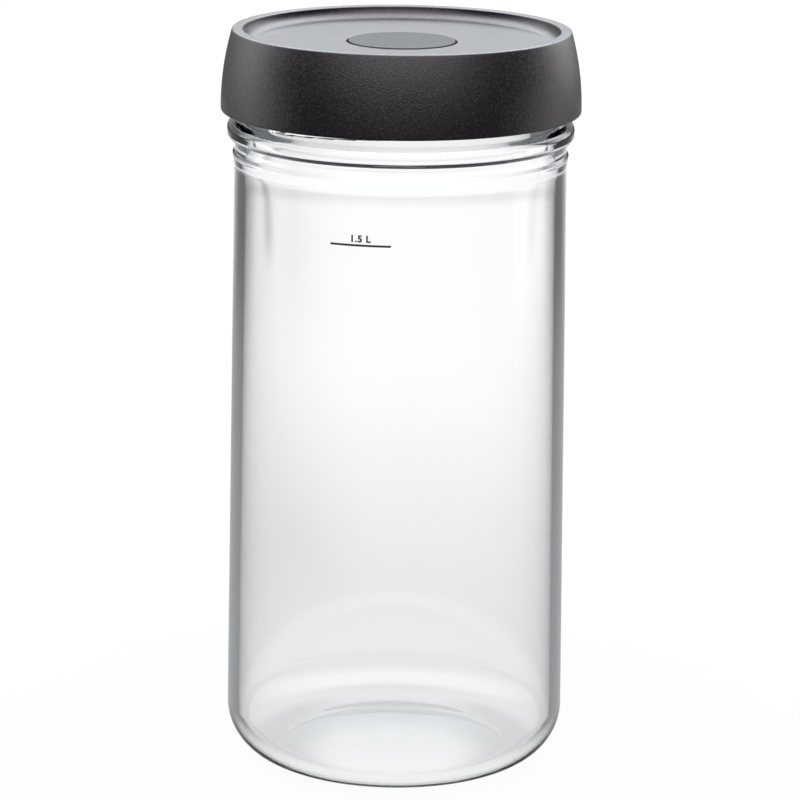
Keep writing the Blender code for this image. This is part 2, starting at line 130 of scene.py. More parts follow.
class Tree:
    """A node tree that is being written."""

    def __init__(self, owner: bpy.types.Material | bpy.types.World) -> None:
        """Takes over the tree of a material or of the world, and clears it.

        Args:
            owner: The material or the world.
        """
        owner.use_nodes = True
        self.tree = owner.node_tree
        self.tree.nodes.clear()

    def node(self, kind: str, settings: dict | None = None, sockets: dict | None = None) -> bpy.types.Node:
        """Adds one node.

        Args:
            kind: The node's type, such as ShaderNodeTexNoise.
            settings: The node's own properties, which are set first.
            sockets: Values or links of its inputs, by socket name or number.

        Returns:
            The new node.
        """
        made = self.tree.nodes.new(kind)
        for name, setting in (settings or {}).items():
            setattr(made, name, setting)
        for name, value in (sockets or {}).items():
            self.plug(made.inputs[name], value)
        return made

    def plug(self, socket: Socket, value: object) -> None:
        """Sets or links one input.

        Args:
            socket: The input.
            value: A Value, an output socket, or a plain number, colour or vector.
        """
        if isinstance(value, Value):
            value = value.socket
        if isinstance(value, Socket):
            self.tree.links.new(value, socket)
        elif isinstance(value, tuple) and len(value) == 3 and socket.type == "RGBA":
            socket.default_value = (*value, 1.0)
        else:
            socket.default_value = value

    def value(self, kind: str, output: str | int = 0, **more: dict) -> "Value":
        """Adds one node, as node() does, and gives one of its outputs as a Value."""
        return Value(self, self.node(kind, **more).outputs[output])

    def axes(self, vector: Socket) -> list["Value"]:
        """The X, Y and Z of a vector."""
        outputs = self.node("ShaderNodeSeparateXYZ", sockets={0: vector}).outputs
        return [Value(self, part) for part in outputs]

    def noise(self, grain: float, detail: float = 2.0, roughness: float = 0.5) -> "Value":
        """A cloudy pattern, which moves with the piece.

        Args:
            grain: The size of its spots in metres.
            detail: How many finer layers it has.
            roughness: How strong the finer layers are.

        Returns:
            The pattern, from 0 to 1 round a mean of a half.
        """
        place = self.node("ShaderNodeTexCoord").outputs["Object"]
        sockets = {"Vector": place, "Scale": 1 / grain, "Detail": detail, "Roughness": roughness}
        return self.value("ShaderNodeTexNoise", "Fac", sockets=sockets)

    def mix(self, share: "Value", first: object, second: object) -> Socket:
        """Blends two colours.

        Args:
            share: How much of the second colour there is.
            first: The colour at 0, as three numbers or a socket.
            second: The colour at 1, as three numbers or a socket.

        Returns:
            The blended colour's socket.
        """
        made = self.node("ShaderNodeMix", {"data_type": "RGBA"}, {"Factor": share})
        self.plug(made.inputs[6], first)
        self.plug(made.inputs[7], second)
        return made.outputs[2]

    def bump(self, height: "Value", depth: float) -> Socket:
        """The normal, bent by a pattern that is a number of metres deep."""
        sockets = {"Height": height, "Distance": depth, "Strength": 1.0}
        return self.node("ShaderNodeBump", sockets=sockets).outputs["Normal"]


@dataclass(frozen=True)
class Value:
    """A number in a node tree. Arithmetic on it adds Math nodes."""

    tree: Tree
    socket: Socket

    def math(self, operation: str, *others: object) -> "Value":
        """Adds one Math node that takes this value first and then the others."""
        sockets = dict(enumerate((self, *others)))
        return self.tree.value("ShaderNodeMath", settings={"operation": operation}, sockets=sockets)

    def after(self, operation: str, first: object) -> "Value":
        """Adds one Math node that takes another value first and then this one."""
        settings = {"operation": operation}
        return self.tree.value("ShaderNodeMath", settings=settings, sockets={0: first, 1: self})

    def __add__(self, other: object) -> "Value":
        """This value plus another."""
        return self.math("ADD", other)

    __radd__ = __add__

    def __mul__(self, other: object) -> "Value":
        """This value times another."""
        return self.math("MULTIPLY", other)

    __rmul__ = __mul__

    def __sub__(self, other: object) -> "Value":
        """This value less another."""
        return self.math("SUBTRACT", other)

    def __rsub__(self, other: object) -> "Value":
        """Another value less this one."""
        return self.after("SUBTRACT", other)

    def __truediv__(self, other: object) -> "Value":
        """This value over another."""
        return self.math("DIVIDE", other)

    def __rtruediv__(self, other: object) -> "Value":
        """Another value over this one."""
        return self.after("DIVIDE", other)

    def over(self, edge: float) -> "Value":
        """Gives 1 where this value is over an edge, and else 0."""
        return self.math("GREATER_THAN", edge)

    def ramp(self, low: float, high: float, first: float = 0.0, last: float = 1.0) -> "Value":
        """Maps a range of this value smoothly to another range.

        Args:
            low: Where the ramp starts.
            high: Where it ends.
            first: What it gives up to its start.
            last: What it gives past its end.

        Returns:
            The mapped value.
        """
        smooth = {"interpolation_type": "SMOOTHSTEP"}
        sockets = {"Value": self, "From Min": low, "From Max": high, "To Min": first, "To Max": last}
        return self.tree.value("ShaderNodeMapRange", settings=smooth, sockets=sockets)


# Finishes


@dataclass(frozen=True)
class Finish:
    """A look, which is written as a node material."""

    name: str

    def sockets(self, tree: Tree) -> dict:
        """The inputs of the look's shader, by name, with the nodes that feed them."""
        raise NotImplementedError

    def volume(self, tree: Tree) -> dict:
        """The output's volume, which only glass has."""
        return {}

    def material(self) -> bpy.types.Material:
        """Makes the look's material.

        Returns:
            The material.
        """
        made = bpy.data.materials.new(self.name)
        tree = Tree(made)
        shader = tree.node("ShaderNodeBsdfPrincipled", sockets=self.sockets(tree))
        outputs = {"Surface": shader.outputs[0], **self.volume(tree)}
        tree.node("ShaderNodeOutputMaterial", sockets=outputs)
        return made


@dataclass(frozen=True)
class ClearGlass(Finish):
    """Clear pressed glass with a faint ripple, a grey-green tint in its depth, and painted shade where it is
    seen edge-on.
    """

    tint: Colour = (0.992, 0.9935, 0.992)
    # Painted shade: a darker tint where the glass is seen edge-on, set by how the surface faces the view
    grazing_shade: Colour = (0.86, 0.88, 0.885)
    edge: Ramp = (0.90, 0.99)
    ior: float = 1.5
    ripple_size: float = 0.018
    ripple_depth: float = 0.00002
    depth_colour: Colour = (0.40, 0.55, 0.52)
    depth_density: float = 4.0

    def sockets(self, tree: Tree) -> dict:
        """The shader's inputs.

        Args:
            tree: The material's tree.

        Returns:
            The inputs by name.
        """
        facing = tree.value("ShaderNodeLayerWeight", "Facing", sockets={"Blend": 0.5})
        return {
            # Painted shade: the glass turns darker where it is seen edge-on, standing in for the dark bands
            # at the jar's sides
            "Base Color": tree.mix(facing.ramp(*self.edge), self.tint, self.grazing_shade),
            "Roughness": 0.0,
            "IOR": self.ior,
            "Transmission Weight": 1.0,
            "Normal": tree.bump(tree.noise(self.ripple_size, detail=1.0), self.ripple_depth),
        }

    def volume(self, tree: Tree) -> dict:
        """The tint in the depth of the glass."""
        depth = {"Color": self.depth_colour, "Density": self.depth_density}
        return {"Volume": tree.node("ShaderNodeVolumeAbsorption", sockets=depth).outputs[0]}


@dataclass(frozen=True)
class GrainedPlastic(Finish):
    """Moulded plastic with a fine spark-eroded grain."""

    colour: Colour
    worn_colour: Colour
    roughness: float
    roughness_spread: float = 0.06
    grain_size: float = 0.00032
    grain_roughness: float = 0.6
    grain_depth: float = 0.00003
    cloud_size: float = 0.012
    cloud_detail: float = 3.0
    pit_edges: Ramp = (0.35, 0.75)
    specular: float = 0.5
    sheen_tint: Colour = (1.0, 1.0, 1.0)

    def sockets(self, tree: Tree) -> dict:
        """The shader's inputs.

        Args:
            tree: The material's tree.

        Returns:
            The inputs by name.
        """
        grain = tree.noise(self.grain_size, roughness=self.grain_roughness)
        cloud = tree.noise(self.cloud_size, self.cloud_detail)
        pits = grain.ramp(*self.pit_edges)
        return {
            "Base Color": tree.mix(pits * (cloud + 0.5), self.colour, self.worn_colour),
            "Roughness": self.roughness + (cloud + pits - 1.0) * self.roughness_spread,
            "Specular IOR Level": self.specular,
            "Specular Tint": self.sheen_tint,
            "Normal": tree.bump(grain, self.grain_depth),
        }


@dataclass(frozen=True)
class Silicone(Finish):
    """Soft silicone, a little translucent, with a dusty surface."""

    colour: Colour
    dust_colour: Colour
    roughness: float = 0.5
    dust_roughness: float = 0.12
    dust_size: float = 0.004
    dust_detail: float = 4.0
    dust_edges: Ramp = (0.4, 0.8)
    grain_size: float = 0.0006
    grain_depth: float = 0.00001
    softness: float = 0.25
    soft_depth: Colour = (0.002, 0.002, 0.002)

    def sockets(self, tree: Tree) -> dict:
        """The shader's inputs.

        Args:
            tree: The material's tree.

        Returns:
            The inputs by name.
        """
        dust = tree.noise(self.dust_size, self.dust_detail).ramp(*self.dust_edges)
        return {
            "Base Color": tree.mix(dust, self.colour, self.dust_colour),
            "Roughness": self.roughness + dust * self.dust_roughness,
            "Normal": tree.bump(tree.noise(self.grain_size), self.grain_depth),
            "Subsurface Weight": self.softness,
            "Subsurface Radius": self.soft_depth,
            "Subsurface Scale": 1.0,
        }


@dataclass(frozen=True)
class MarkedSurface(Finish):
    """Drawn wire or printed ink, whose fine marks change its colour, gloss and relief."""

    colour: Colour
    mark_colour: Colour
    roughness: float
    spread: float
    size: float
    detail: float
    edges: Ramp
    depth: float
    metal: float = 0.0

    def sockets(self, tree: Tree) -> dict:
        """The shader's inputs.

        Args:
            tree: The material's tree.

        Returns:
            The inputs by name.
        """
        marks = tree.noise(self.size, self.detail)
        return {
            "Base Color": tree.mix(marks.ramp(*self.edges), self.colour, self.mark_colour),
            "Metallic": self.metal,
            "Roughness": marks * self.spread + self.roughness,
            "Normal": tree.bump(marks, self.depth),
        }


# Outlines and turned meshes


@dataclass(frozen=True)
class Corner:
    """A corner of an outline, in the plane of radius and height."""

    r: float
    z: float
    fillet: float = 0.0
    span: float = 0.0


def rounded(corners: list[Corner], closed: bool) -> Outline:
    """Rounds the corners of an outline.

    Args:
        corners: The corners in order, each with the radius of its fillet. A corner's span is the
            greatest distance between points on the straight stretch that ends there.
        closed: Whether the outline runs back to its first corner.

    Returns:
        The points of the rounded outline.
    """
    points: list[Vector] = []
    count = len(corners)
    for index, corner in enumerate(corners):
        here = Vector((corner.r, corner.z))
        at_end = not closed and index in (0, count - 1)
        if at_end or not corner.fillet:
            arc = [here]
        else:
            before = corners[index - 1]
            after = corners[(index + 1) % count]
            arc = fillet_arc(Vector((before.r, before.z)), here, Vector((after.r, after.z)), corner.fillet)
        if points and corner.span:
            points += between(points[-1], arc[0], corner.span)
        points += arc
    return [(max(0.0, point.x), point.y) for point in points]


def fillet_arc(before: Vector, here: Vector, after: Vector, radius: float) -> list[Vector]:
    """The arc that rounds one corner.

    Args:
        before: The corner before it.
        here: The corner.
        after: The corner after it.
        radius: The arc's radius.

    Returns:
        Points from the arc's start to its end.
    """
    inward = (before - here).normalized()
    outward = (after - here).normalized()
    half = inward.angle(outward) / 2
    reach = radius / math.tan(half)
    centre = here + (inward + outward).normalized() * (radius / math.sin(half))
    start = here + inward * reach - centre
    turn = math.copysign(math.pi - 2 * half, start.y * inward.x - start.x * inward.y)
    steps = max(2, math.ceil(abs(turn) / ROUND_STEP))
    return [centre + turned(start, turn * step / steps) for step in range(steps + 1)]


def turned(arm: Vector, angle: float) -> Vector:
    """An arm in the plane, turned by an angle."""
    cos, sin = math.cos(angle), math.sin(angle)
    return Vector((arm.x * cos - arm.y * sin, arm.x * sin + arm.y * cos))


def between(start: Vector, end: Vector, span: float) -> list[Vector]:
    """Points between two places, both left out, no further apart than a span."""
    steps = max(1, math.ceil((end - start).length / span))
    return [start.lerp(end, step / steps) for step in range(1, steps)]


def dome(foot_r: float, foot_z: float, rise: float, steps: int = 14) -> list[Corner]:
    """The corners of a shallow dome, from its crown on the axis to just short of its foot.

    Args:
        foot_r: The radius of its foot.
        foot_z: The height of its foot.
        rise: How far its crown stands over its foot.
        steps: How many stretches it has.

    Returns:
        The corners, the foot left out.
    """
    radius = (foot_r**2 + rise**2) / (2 * rise)
    reach = math.asin(foot_r / radius)
    turns = [reach * step / steps for step in range(steps)]
    middle_z = foot_z + rise - radius
    return [Corner(radius * math.sin(turn), middle_z + radius * math.cos(turn)) for turn in turns]


def lathe(name: str, outline: Outline, segments: int, relief: Relief | None = None) -> Thing:
    """Turns an outline about the Z axis into one closed mesh.

    Args:
        name: The piece's name.
        outline: Points of radius and height. One that starts and ends on the axis closes there, and
            any other closes on itself.
        segments: How many facets go round.
        relief: Gives how far each point stands off its radius, from arrays of angle, radius and height.

    Returns:
        The piece, linked to the scene.
    """
    radius = np.array([point[0] for point in outline])
    height = np.array([point[1] for point in outline])
    angle = np.arange(segments) * FULL_TURN / segments
    grid_r = np.repeat(radius[:, None], segments, axis=1)
    grid_z = np.repeat(height[:, None], segments, axis=1)
    grid_a = np.repeat(angle[None, :], len(outline), axis=0)
    if relief:
        grid_r = grid_r + relief(grid_a, grid_r, grid_z)
    places = np.stack([grid_r * np.cos(grid_a), grid_r * np.sin(grid_a), grid_z], axis=2)
    mesh = bmesh.new()
    rings = []
    for row, ring_r in zip(places, radius):
        corners = row[:1] if ring_r < ON_AXIS else row
        rings.append([mesh.verts.new(corner) for corner in corners])
    on_axis = len(rings[0]) == 1
    join_rings(mesh, rings if on_axis else rings + rings[:1], segments)
    return solid(name, mesh)


def join_rings(mesh: Mesh, rings: list[list[bmesh.types.BMVert]], sides: int) -> None:
    """Puts faces between each ring of vertices and the next.

    Args:
        mesh: The mesh that holds the rings.
        rings: The rings, of which the first and the last may be one vertex on the axis.
        sides: How many vertices the other rings have.
    """
    for low, high in zip(rings, rings[1:]):
        for corner in range(sides):
            beside = (corner + 1) % sides
            if len(low) == 1:
                mesh.faces.new((low[0], high[beside], high[corner]))
            elif len(high) == 1:
                mesh.faces.new((low[corner], low[beside], high[0]))
            else:
                mesh.faces.new((low[corner], low[beside], high[beside], high[corner]))


def linked(name: str, mesh: Mesh) -> Thing:
    """Makes a piece of a finished mesh.

    Args:
        name: The piece's name.
        mesh: The mesh, which is freed.

    Returns:
        The piece, shaded smooth and linked to the scene.
    """
    data = bpy.data.meshes.new(name)
    mesh.to_mesh(data)
    mesh.free()
    data.shade_smooth()
    data.set_sharp_from_angle(angle=SHARP)
    piece = bpy.data.objects.new(name, data)
    bpy.context.scene.collection.objects.link(piece)
    return piece


def solid(name: str, mesh: Mesh) -> Thing:
    """Makes a piece of a closed mesh, with its faces turned outward."""
    bmesh.ops.recalc_face_normals(mesh, faces=mesh.faces)
    return linked(name, mesh)


def cut(piece: Thing, cutters: Pieces) -> None:
    """Cuts closed meshes out of a piece and removes them.

    Args:
        piece: The piece.
        cutters: The closed meshes that are cut away.
    """
    for cutter in cutters:
        hole = piece.modifiers.new(cutter.name, "BOOLEAN")
        hole.operation = "DIFFERENCE"
        hole.solver = "EXACT"
        hole.object = cutter
    bpy.context.view_layer.update()
    graph = bpy.context.evaluated_depsgraph_get()
    data = bpy.data.meshes.new_from_object(piece.evaluated_get(graph))
    piece.modifiers.clear()
    piece.data = data
    for cutter in cutters:
        bpy.data.objects.remove(cutter, do_unlink=True)


def drill(name: str, radius: float, start: Vector, end: Vector, segments: int = 32) -> Thing:
    """A round cutter between two places.

    Args:
        name: The cutter's name.
        radius: Its radius.
        start: The middle of its first end.
        end: The middle of its last end.
        segments: How many facets go round.

    Returns:
        The cutter.
    """
    mesh = bmesh.new()
    along = end - start
    round_ends = {"radius1": radius, "radius2": radius, "depth": along.length}
    bmesh.ops.create_cone(mesh, cap_ends=True, segments=segments, **round_ends)
    turn = along.to_track_quat("Z", "Y").to_matrix().to_4x4()
    bmesh.ops.transform(mesh, matrix=Matrix.Translation((start + end) / 2) @ turn, verts=mesh.verts)
    return linked(name, mesh)


def eased(share: np.ndarray) -> np.ndarray:
    """Shares cut to the range from 0 to 1 and eased at both ends."""
    inside = np.clip(share, 0, 1)
    return inside * inside * (3 - 2 * inside)


def box_of(node: str) -> tuple[float, float, float]:
    """The radius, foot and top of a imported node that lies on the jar's axis."""
    low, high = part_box(node)
    return high[0], low[2], high[2]


# Pieces


@dataclass(frozen=True)
class Role:
    """The body that a sub-assembly moves with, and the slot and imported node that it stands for."""

    body: Body
    slot: Slot
    node: str = ""


class Part:
    """A sub-assembly of the jar, which is built and then dressed."""

    role: ClassVar[Role]

    def build(self) -> Pieces:
        """Makes the sub-assembly's meshes, in a fixed order."""
        raise NotImplementedError

    def finish(self) -> Finish:
        """The look of its meshes."""
        raise NotImplementedError

    def dress(self, pieces: Pieces) -> None:
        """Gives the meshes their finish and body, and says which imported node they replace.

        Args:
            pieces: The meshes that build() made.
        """
        material = self.finish().material()
        for piece in pieces:
            piece.data.materials.append(material)
            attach(piece, self.role.body.value)
            if self.role.node:
                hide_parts(self.role.node)


class TurnedPart(Part):
    """A sub-assembly of one turned mesh, with relief on it or holes cut into it."""

    mesh_name: ClassVar[str]
    closed: ClassVar[bool] = True
    segments: int

    def corners(self) -> list[Corner]:
        """The corners of its outline."""
        raise NotImplementedError

    def relief(self) -> Relief | None:
        """The relief of its wall, if it has any."""
        return None

    def cutters(self) -> Pieces:
        """The closed meshes that are cut out of it."""
        return []

    def build(self) -> Pieces:
        """Turns the outline and cuts the holes.

        Returns:
            The one mesh, in a list.
        """
        outline = rounded(self.corners(), self.closed)
        piece = lathe(self.mesh_name, outline, self.segments, self.relief())
        cutters = self.cutters()
        if cutters:
            cut(piece, cutters)
        return [piece]


@dataclass(frozen=True)
class ScrewThread:
    """A two-start right-hand thread on a wall, with its ends fading into the wall."""

    root_r: float
    first_angle: float
    first_z: float
    turns: float
    height: float = 0.0014
    reach: float = 0.0013
    starts: int = 2
    lead: float = 0.0120
    base_width: float = 0.0028
    crest_width: float = 0.0013
    fade: float = math.radians(6)

    def ridge(self, angle: np.ndarray, z: np.ndarray) -> np.ndarray:
        """How high the thread stands on its wall.

        Args:
            angle: Angles about the axis.
            z: Heights.

        Returns:
            The ridge's height at each place, 0 between the turns.
        """
        tall = np.zeros_like(z)
        for start in range(self.starts):
            first = self.first_angle + FULL_TURN * start / self.starts
            gone = np.mod(angle - first, FULL_TURN)
            left = self.turns * FULL_TURN - gone
            ends = eased(np.minimum(gone, left) / self.fade)
            middle = self.first_z + self.lead * gone / FULL_TURN
            flank = (self.base_width - self.crest_width) / 2
            across = eased((self.base_width / 2 - np.abs(z - middle)) / flank)
            tall = np.maximum(tall, abs(self.height) * ends * across)
        return tall

    def relief(self, angle: np.ndarray, r: np.ndarray, z: np.ndarray) -> np.ndarray:
        """How far the wall's points move to form the ridge.

        Args:
            angle: The points' angles about the axis.
            r: Their radii.
            z: Their heights.

        Returns:
            The moves outward, or inward and below 0 for an inside thread.
        """
        tall = self.ridge(angle, z)
        near = np.abs(r - self.root_r) <= self.reach
        if self.height > 0:
            move = np.maximum(0, self.root_r + tall - r)
        else:
            move = np.minimum(0, self.root_r - tall - r)
        return np.where(near & (tall > 0), move, 0.0)


@dataclass
class GlassJar(TurnedPart):
    """The glass jar, with its screw neck."""

    bead_r: float
    rim_z: float
    wall: float = 0.0036
    wall_span: float = 0.006
    neck_wall: float = 0.0031
    body_taper: float = 0.0022
    body_round: float = 0.012
    heel: float = 0.0172
    foot_ring: float = 0.0018
    foot_edge: float = 0.0080
    push_up: float = 0.0026
    bead_proud: float = 0.0024
    bead_drop: float = 0.0222
    bead_half: float = 0.0034
    bead_low: float = 0.0024
    bead_low_round: float = 0.0020
    bead_high: float = 0.0017
    bead_high_round: float = 0.0028
    groove: float = 0.0034
    edge: float = 0.0006
    shoulder_proud: float = 0.0006
    shoulder_step: float = 0.0010
    shoulder_land: float = 0.0006
    shoulder_slope: float = 0.0032
    shoulder_round: float = 0.0012
    neck_step: float = 0.0012
    neck_step_height: float = 0.0018
    neck_step_round: float = 0.0008
    thread_over_bead: float = 0.0015
    thread_turns: float = 0.9
    thread_angle: float = math.radians(217.5)
    thread_span: float = 0.00028
    floor_glass: float = 0.0036
    floor_crown: float = 0.0026
    neck_flare: float = 0.0060
    flare_round: float = 0.008
    flare_span: float = 0.003
    rim_round: float = 0.0012
    segments: int = 320

    role: ClassVar[Role] = Role(Body.JAR, Slot.GLASS, "glass_jar")
    mesh_name: ClassVar[str] = "jar_glass_body"
    closed: ClassVar[bool] = False

    def __post_init__(self) -> None:
        """Works out the places that follow from the sizes."""
        self.neck_r = self.bead_r - self.bead_proud
        self.foot_r = self.neck_r + self.body_taper
        self.bead_z = self.rim_z - self.bead_drop
        self.bead_top = self.bead_z + self.bead_half
        self.bead_under = self.bead_z - self.bead_half
        self.groove_z = self.bead_under - self.groove
        self.land_z = self.groove_z - self.shoulder_step
        self.slope_z = self.land_z - self.shoulder_land
        self.body_top = self.slope_z - self.shoulder_slope
        self.root_r = self.neck_r - self.neck_step

    def wall_r(self, z: float) -> float:
        """The radius of the body's outer wall at a height."""
        share = (z - self.heel) / (self.body_top - self.heel)
        return self.foot_r + (self.neck_r - self.foot_r) * share

    def relief(self) -> Relief:
        """The thread on the neck."""
        first_z = self.bead_top + self.thread_over_bead
        return ScrewThread(self.root_r, self.thread_angle, first_z, self.thread_turns).relief

    def corners(self) -> list[Corner]:
        """The corners from the axis under the floor, up the outside and down to the axis on the floor."""
        return self.outside() + self.inside()

    def outside(self) -> list[Corner]:
        """The corners of the outer face.

        Returns:
            The corners, from the axis under the floor to the neck's root.
        """
        ring_in = self.foot_r - self.heel - self.foot_ring
        crest = self.neck_r + self.shoulder_proud
        root_z = self.bead_top + self.neck_step_height
        return dome(ring_in, 0, self.push_up) + [
            Corner(ring_in, 0, self.foot_edge),
            Corner(self.foot_r, 0, self.heel),
            Corner(self.neck_r, self.body_top, self.body_round, self.wall_span),
            Corner(crest, self.slope_z, self.shoulder_round),
            Corner(crest, self.land_z, self.edge),
            Corner(self.neck_r, self.groove_z, self.edge),
            Corner(self.neck_r, self.bead_under, BROKEN),
            Corner(self.bead_r, self.bead_z - self.bead_low, self.bead_low_round),
            Corner(self.bead_r, self.bead_z + self.bead_high, self.bead_high_round),
            Corner(self.neck_r, self.bead_top, self.edge),
            Corner(self.root_r, root_z, self.neck_step_round, self.thread_span),
        ]

    def inside(self) -> list[Corner]:
        """The corners of the rim and the inner face.

        Returns:
            The corners, from the rim's outer edge down to the axis on the floor.
        """
        bore_r = self.root_r - self.neck_wall
        foot_in = self.foot_r - self.wall
        heel_in = self.heel - self.wall
        crown = dome(foot_in - heel_in, self.floor_glass, self.floor_crown)
        return [
            Corner(self.root_r, self.rim_z, self.rim_round, self.thread_span),
            Corner(bore_r, self.rim_z, self.rim_round),
            Corner(bore_r, self.body_top + self.neck_flare, self.flare_round, self.flare_span),
            Corner(self.neck_r - self.wall, self.body_top, self.flare_round),
            Corner(foot_in, self.floor_glass, heel_in, self.wall_span),
        ] + crown[::-1]

    def finish(self) -> Finish:
        """Clear glass."""
        return ClearGlass("clear_glass")


@dataclass
class FillMark(Part):
    """The printed fill line and the number over it, wrapped on the glass."""

    wall_r: Callable[[float], float]
    line_z: float = 0.1850
    line_from: float = math.radians(-23.5)
    line_to: float = math.radians(-2.75)
    line_width: float = 0.00066
    line_steps: int = 48
    text: str = "1.5 L"
    text_size: float = 0.0030
    text_rise: float = 0.0011
    text_steps: int = 6
    bold: float = 0.00013
    spread: float = 1.12
    lift: float = 0.00003
    ink: float = 0.00004

    role: ClassVar[Role] = Role(Body.JAR, Slot.INK)

    def wrap(self, azimuth: float, z: float, lift: float) -> Vector:
        """The place at an angle to the right of the front, a height and a lift off the glass."""
        r = self.wall_r(z) + lift
        return Vector((r * math.sin(azimuth), -r * math.cos(azimuth), z))

    def line(self) -> Thing:
        """The fill line, a thin bent strip.

        Returns:
            The line's mesh.
        """
        mesh = bmesh.new()
        rows = []
        half = self.line_width / 2
        section = ((-half, 0), (half, 0), (half, self.ink), (-half, self.ink))
        for step in range(self.line_steps + 1):
            azimuth = self.line_from + (self.line_to - self.line_from) * step / self.line_steps
            places = [self.wrap(azimuth, self.line_z + rise, self.lift + off) for rise, off in section]
            rows.append([mesh.verts.new(place) for place in places])
        join_rings(mesh, rows, len(section))
        mesh.faces.new(rows[0])
        mesh.faces.new(rows[-1])
        return solid("fill_line", mesh)

    def number(self) -> Thing:
        """The number over the line, from Blender's own letter outlines.

        Returns:
            The number's mesh.
        """
        letters = bpy.data.curves.new("fill_number", "FONT")
        letters.body = self.text
        letters.size = self.text_size
        letters.extrude = self.ink / 2
        letters.offset = self.bold
        letters.space_character = self.spread
        letters.resolution_u = self.text_steps
        letters.align_x = "CENTER"
        flat = bpy.data.objects.new("fill_number_flat", letters)
        bpy.context.scene.collection.objects.link(flat)
        bpy.context.view_layer.update()
        data = bpy.data.meshes.new_from_object(flat.evaluated_get(bpy.context.evaluated_depsgraph_get()))
        bpy.data.objects.remove(flat, do_unlink=True)
        mesh = bmesh.new()
        mesh.from_mesh(data)
        bpy.data.meshes.remove(data)
        bmesh.ops.remove_doubles(mesh, verts=mesh.verts, dist=WELD)
        middle = (self.line_from + self.line_to) / 2
        base = self.line_z + self.text_rise
        for corner in mesh.verts:
            azimuth = middle + corner.co.x / self.wall_r(base)
            corner.co = self.wrap(azimuth, base + corner.co.y, self.lift + self.ink / 2 + corner.co.z)
        return solid("fill_number", mesh)

    def build(self) -> Pieces:
        """Makes the line and the number."""
        return [self.line(), self.number()]

    def finish(self) -> Finish:
        """Black ink, screen printed and fired on the glass."""
        marks = {"size": 0.0004, "detail": 3.0, "edges": (0.5, 0.8), "spread": 0.2, "depth": 0.000006}
        return MarkedSurface("screen_ink", (0.012, 0.012, 0.013), (0.03, 0.03, 0.032), 0.35, **marks)


@dataclass
class LidGasket(TurnedPart):
    """The silicone ring between the rim and the liner."""

    out_r: float
    under: float
    top: float
    width: float = 0.0036
    edge: float = 0.0004
    segments: int = 192

    role: ClassVar[Role] = Role(Body.SEAL, Slot.GASKET, "lid_gasket")
    mesh_name: ClassVar[str] = "gasket_ring"

    def corners(self) -> list[Corner]:
        """The ring's section.

        Returns:
            Its four corners.
        """
        in_r = self.out_r - self.width
        return [
            Corner(in_r, self.under, self.edge),
            Corner(self.out_r, self.under, self.edge),
            Corner(self.out_r, self.top, self.edge / 2),
            Corner(in_r, self.top, self.edge / 2),
        ]

    def finish(self) -> Finish:
        """Pale silicone."""
        return Silicone("gasket_silicone_finish", (0.60, 0.61, 0.60), (0.70, 0.70, 0.69))


@dataclass(frozen=True)
class LidBow:
    """The long arc that the sides of cover and liner follow, straight at its foot."""

    hem: float
    radius: float = 0.0910
    straight: float = 0.0010

    def drawn_in(self, height: float) -> float:
        """How far the side has drawn in at a height."""
        rise = max(0.0, height - self.hem - self.straight)
        return self.radius - math.sqrt(self.radius**2 - rise**2)

    def side(self, foot_r: float, low: float, high: float, steps: int) -> list[Corner]:
        """Points up a side whose foot has a radius, from a low to a high place in a number of steps."""
        heights = [low + (high - low) * step / steps for step in range(steps + 1)]
        return [Corner(foot_r - self.drawn_in(height), height) for height in heights]


@dataclass(frozen=True)
class SnapRing:
    """The ring of the liner that snaps into a groove of the cover."""

    z: float
    proud: float = 0.0005
    half: float = 0.0008

    def above(self) -> float:
        """The height at which the wall goes on over the ring."""
        return self.z + 2 * self.half

    def corners(self, wall_r: float) -> list[Corner]:
        """The ring's corners on a wall, from its lower edge up."""
        low, high = Corner(wall_r, self.z - self.half, FINE), Corner(wall_r, self.z + self.half, FINE)
        return [low, Corner(wall_r + self.proud, self.z, BROKEN), high]


@dataclass
class LidCover(TurnedPart):
    """The lid's outer cover, with its bowed skirt, flat ring, round recess and button hole."""

    hem_r: float
    top: float
    hole_r: float
    bow: LidBow
    snap: SnapRing
    wall: float = 0.0019
    plate: float = 0.0020
    recess: float = 0.0040
    recess_draft: float = 0.0003
    recess_fillet: float = 0.0036
    ring_width: float = 0.0030
    edge: float = 0.0006
    hole_edge: float = 0.00025
    hem_round: float = 0.0007
    inner_gap: float = 0.0001
    segments: int = 256
    side_steps: int = 24

    role: ClassVar[Role] = Role(Body.LID, Slot.COVER, "lid_cover")
    mesh_name: ClassVar[str] = "cover_shell"

    def corners(self) -> list[Corner]:
        """The cover's section.

        Returns:
            Its corners, from the hem up the outside and back down the inside.
        """
        hem = self.bow.hem
        floor = self.top - self.recess
        under = floor - self.plate
        top_r = self.hem_r - self.bow.drawn_in(self.top)
        recess_r = top_r - self.edge - self.ring_width
        in_r = self.hem_r - self.wall + self.inner_gap
        side_top = self.top - 2 * self.edge
        return [
            Corner(self.hem_r, hem, self.hem_round),
            *self.bow.side(self.hem_r, hem + self.bow.straight, side_top, self.side_steps),
            Corner(top_r, self.top, self.edge),
            Corner(recess_r, self.top, SOFT),
            Corner(recess_r - self.recess_draft, floor, self.recess_fillet),
            Corner(self.hole_r, floor, self.hole_edge, FLAT_SPAN),
            Corner(self.hole_r, under, FINE),
            *reversed(self.bow.side(in_r, self.snap.above(), under, self.side_steps)),
            *reversed(self.snap.corners(in_r)),
            Corner(in_r, hem, BROKEN),
        ]

    def finish(self) -> Finish:
        """Black plastic with a satin grain.

        Returns:
            The finish.
        """
        grain = {"grain_size": 0.00042, "grain_depth": 0.00012, "pit_edges": (0.53, 0.62)}
        sheen = {"roughness_spread": 0.04, "specular": 0.42, "sheen_tint": (1.0, 0.95, 1.0)}
        black, worn = (0.0022, 0.0016, 0.0025), (0.035, 0.029, 0.038)
        return GrainedPlastic("cover_satin_black", black, worn, 0.33, **grain, **sheen)


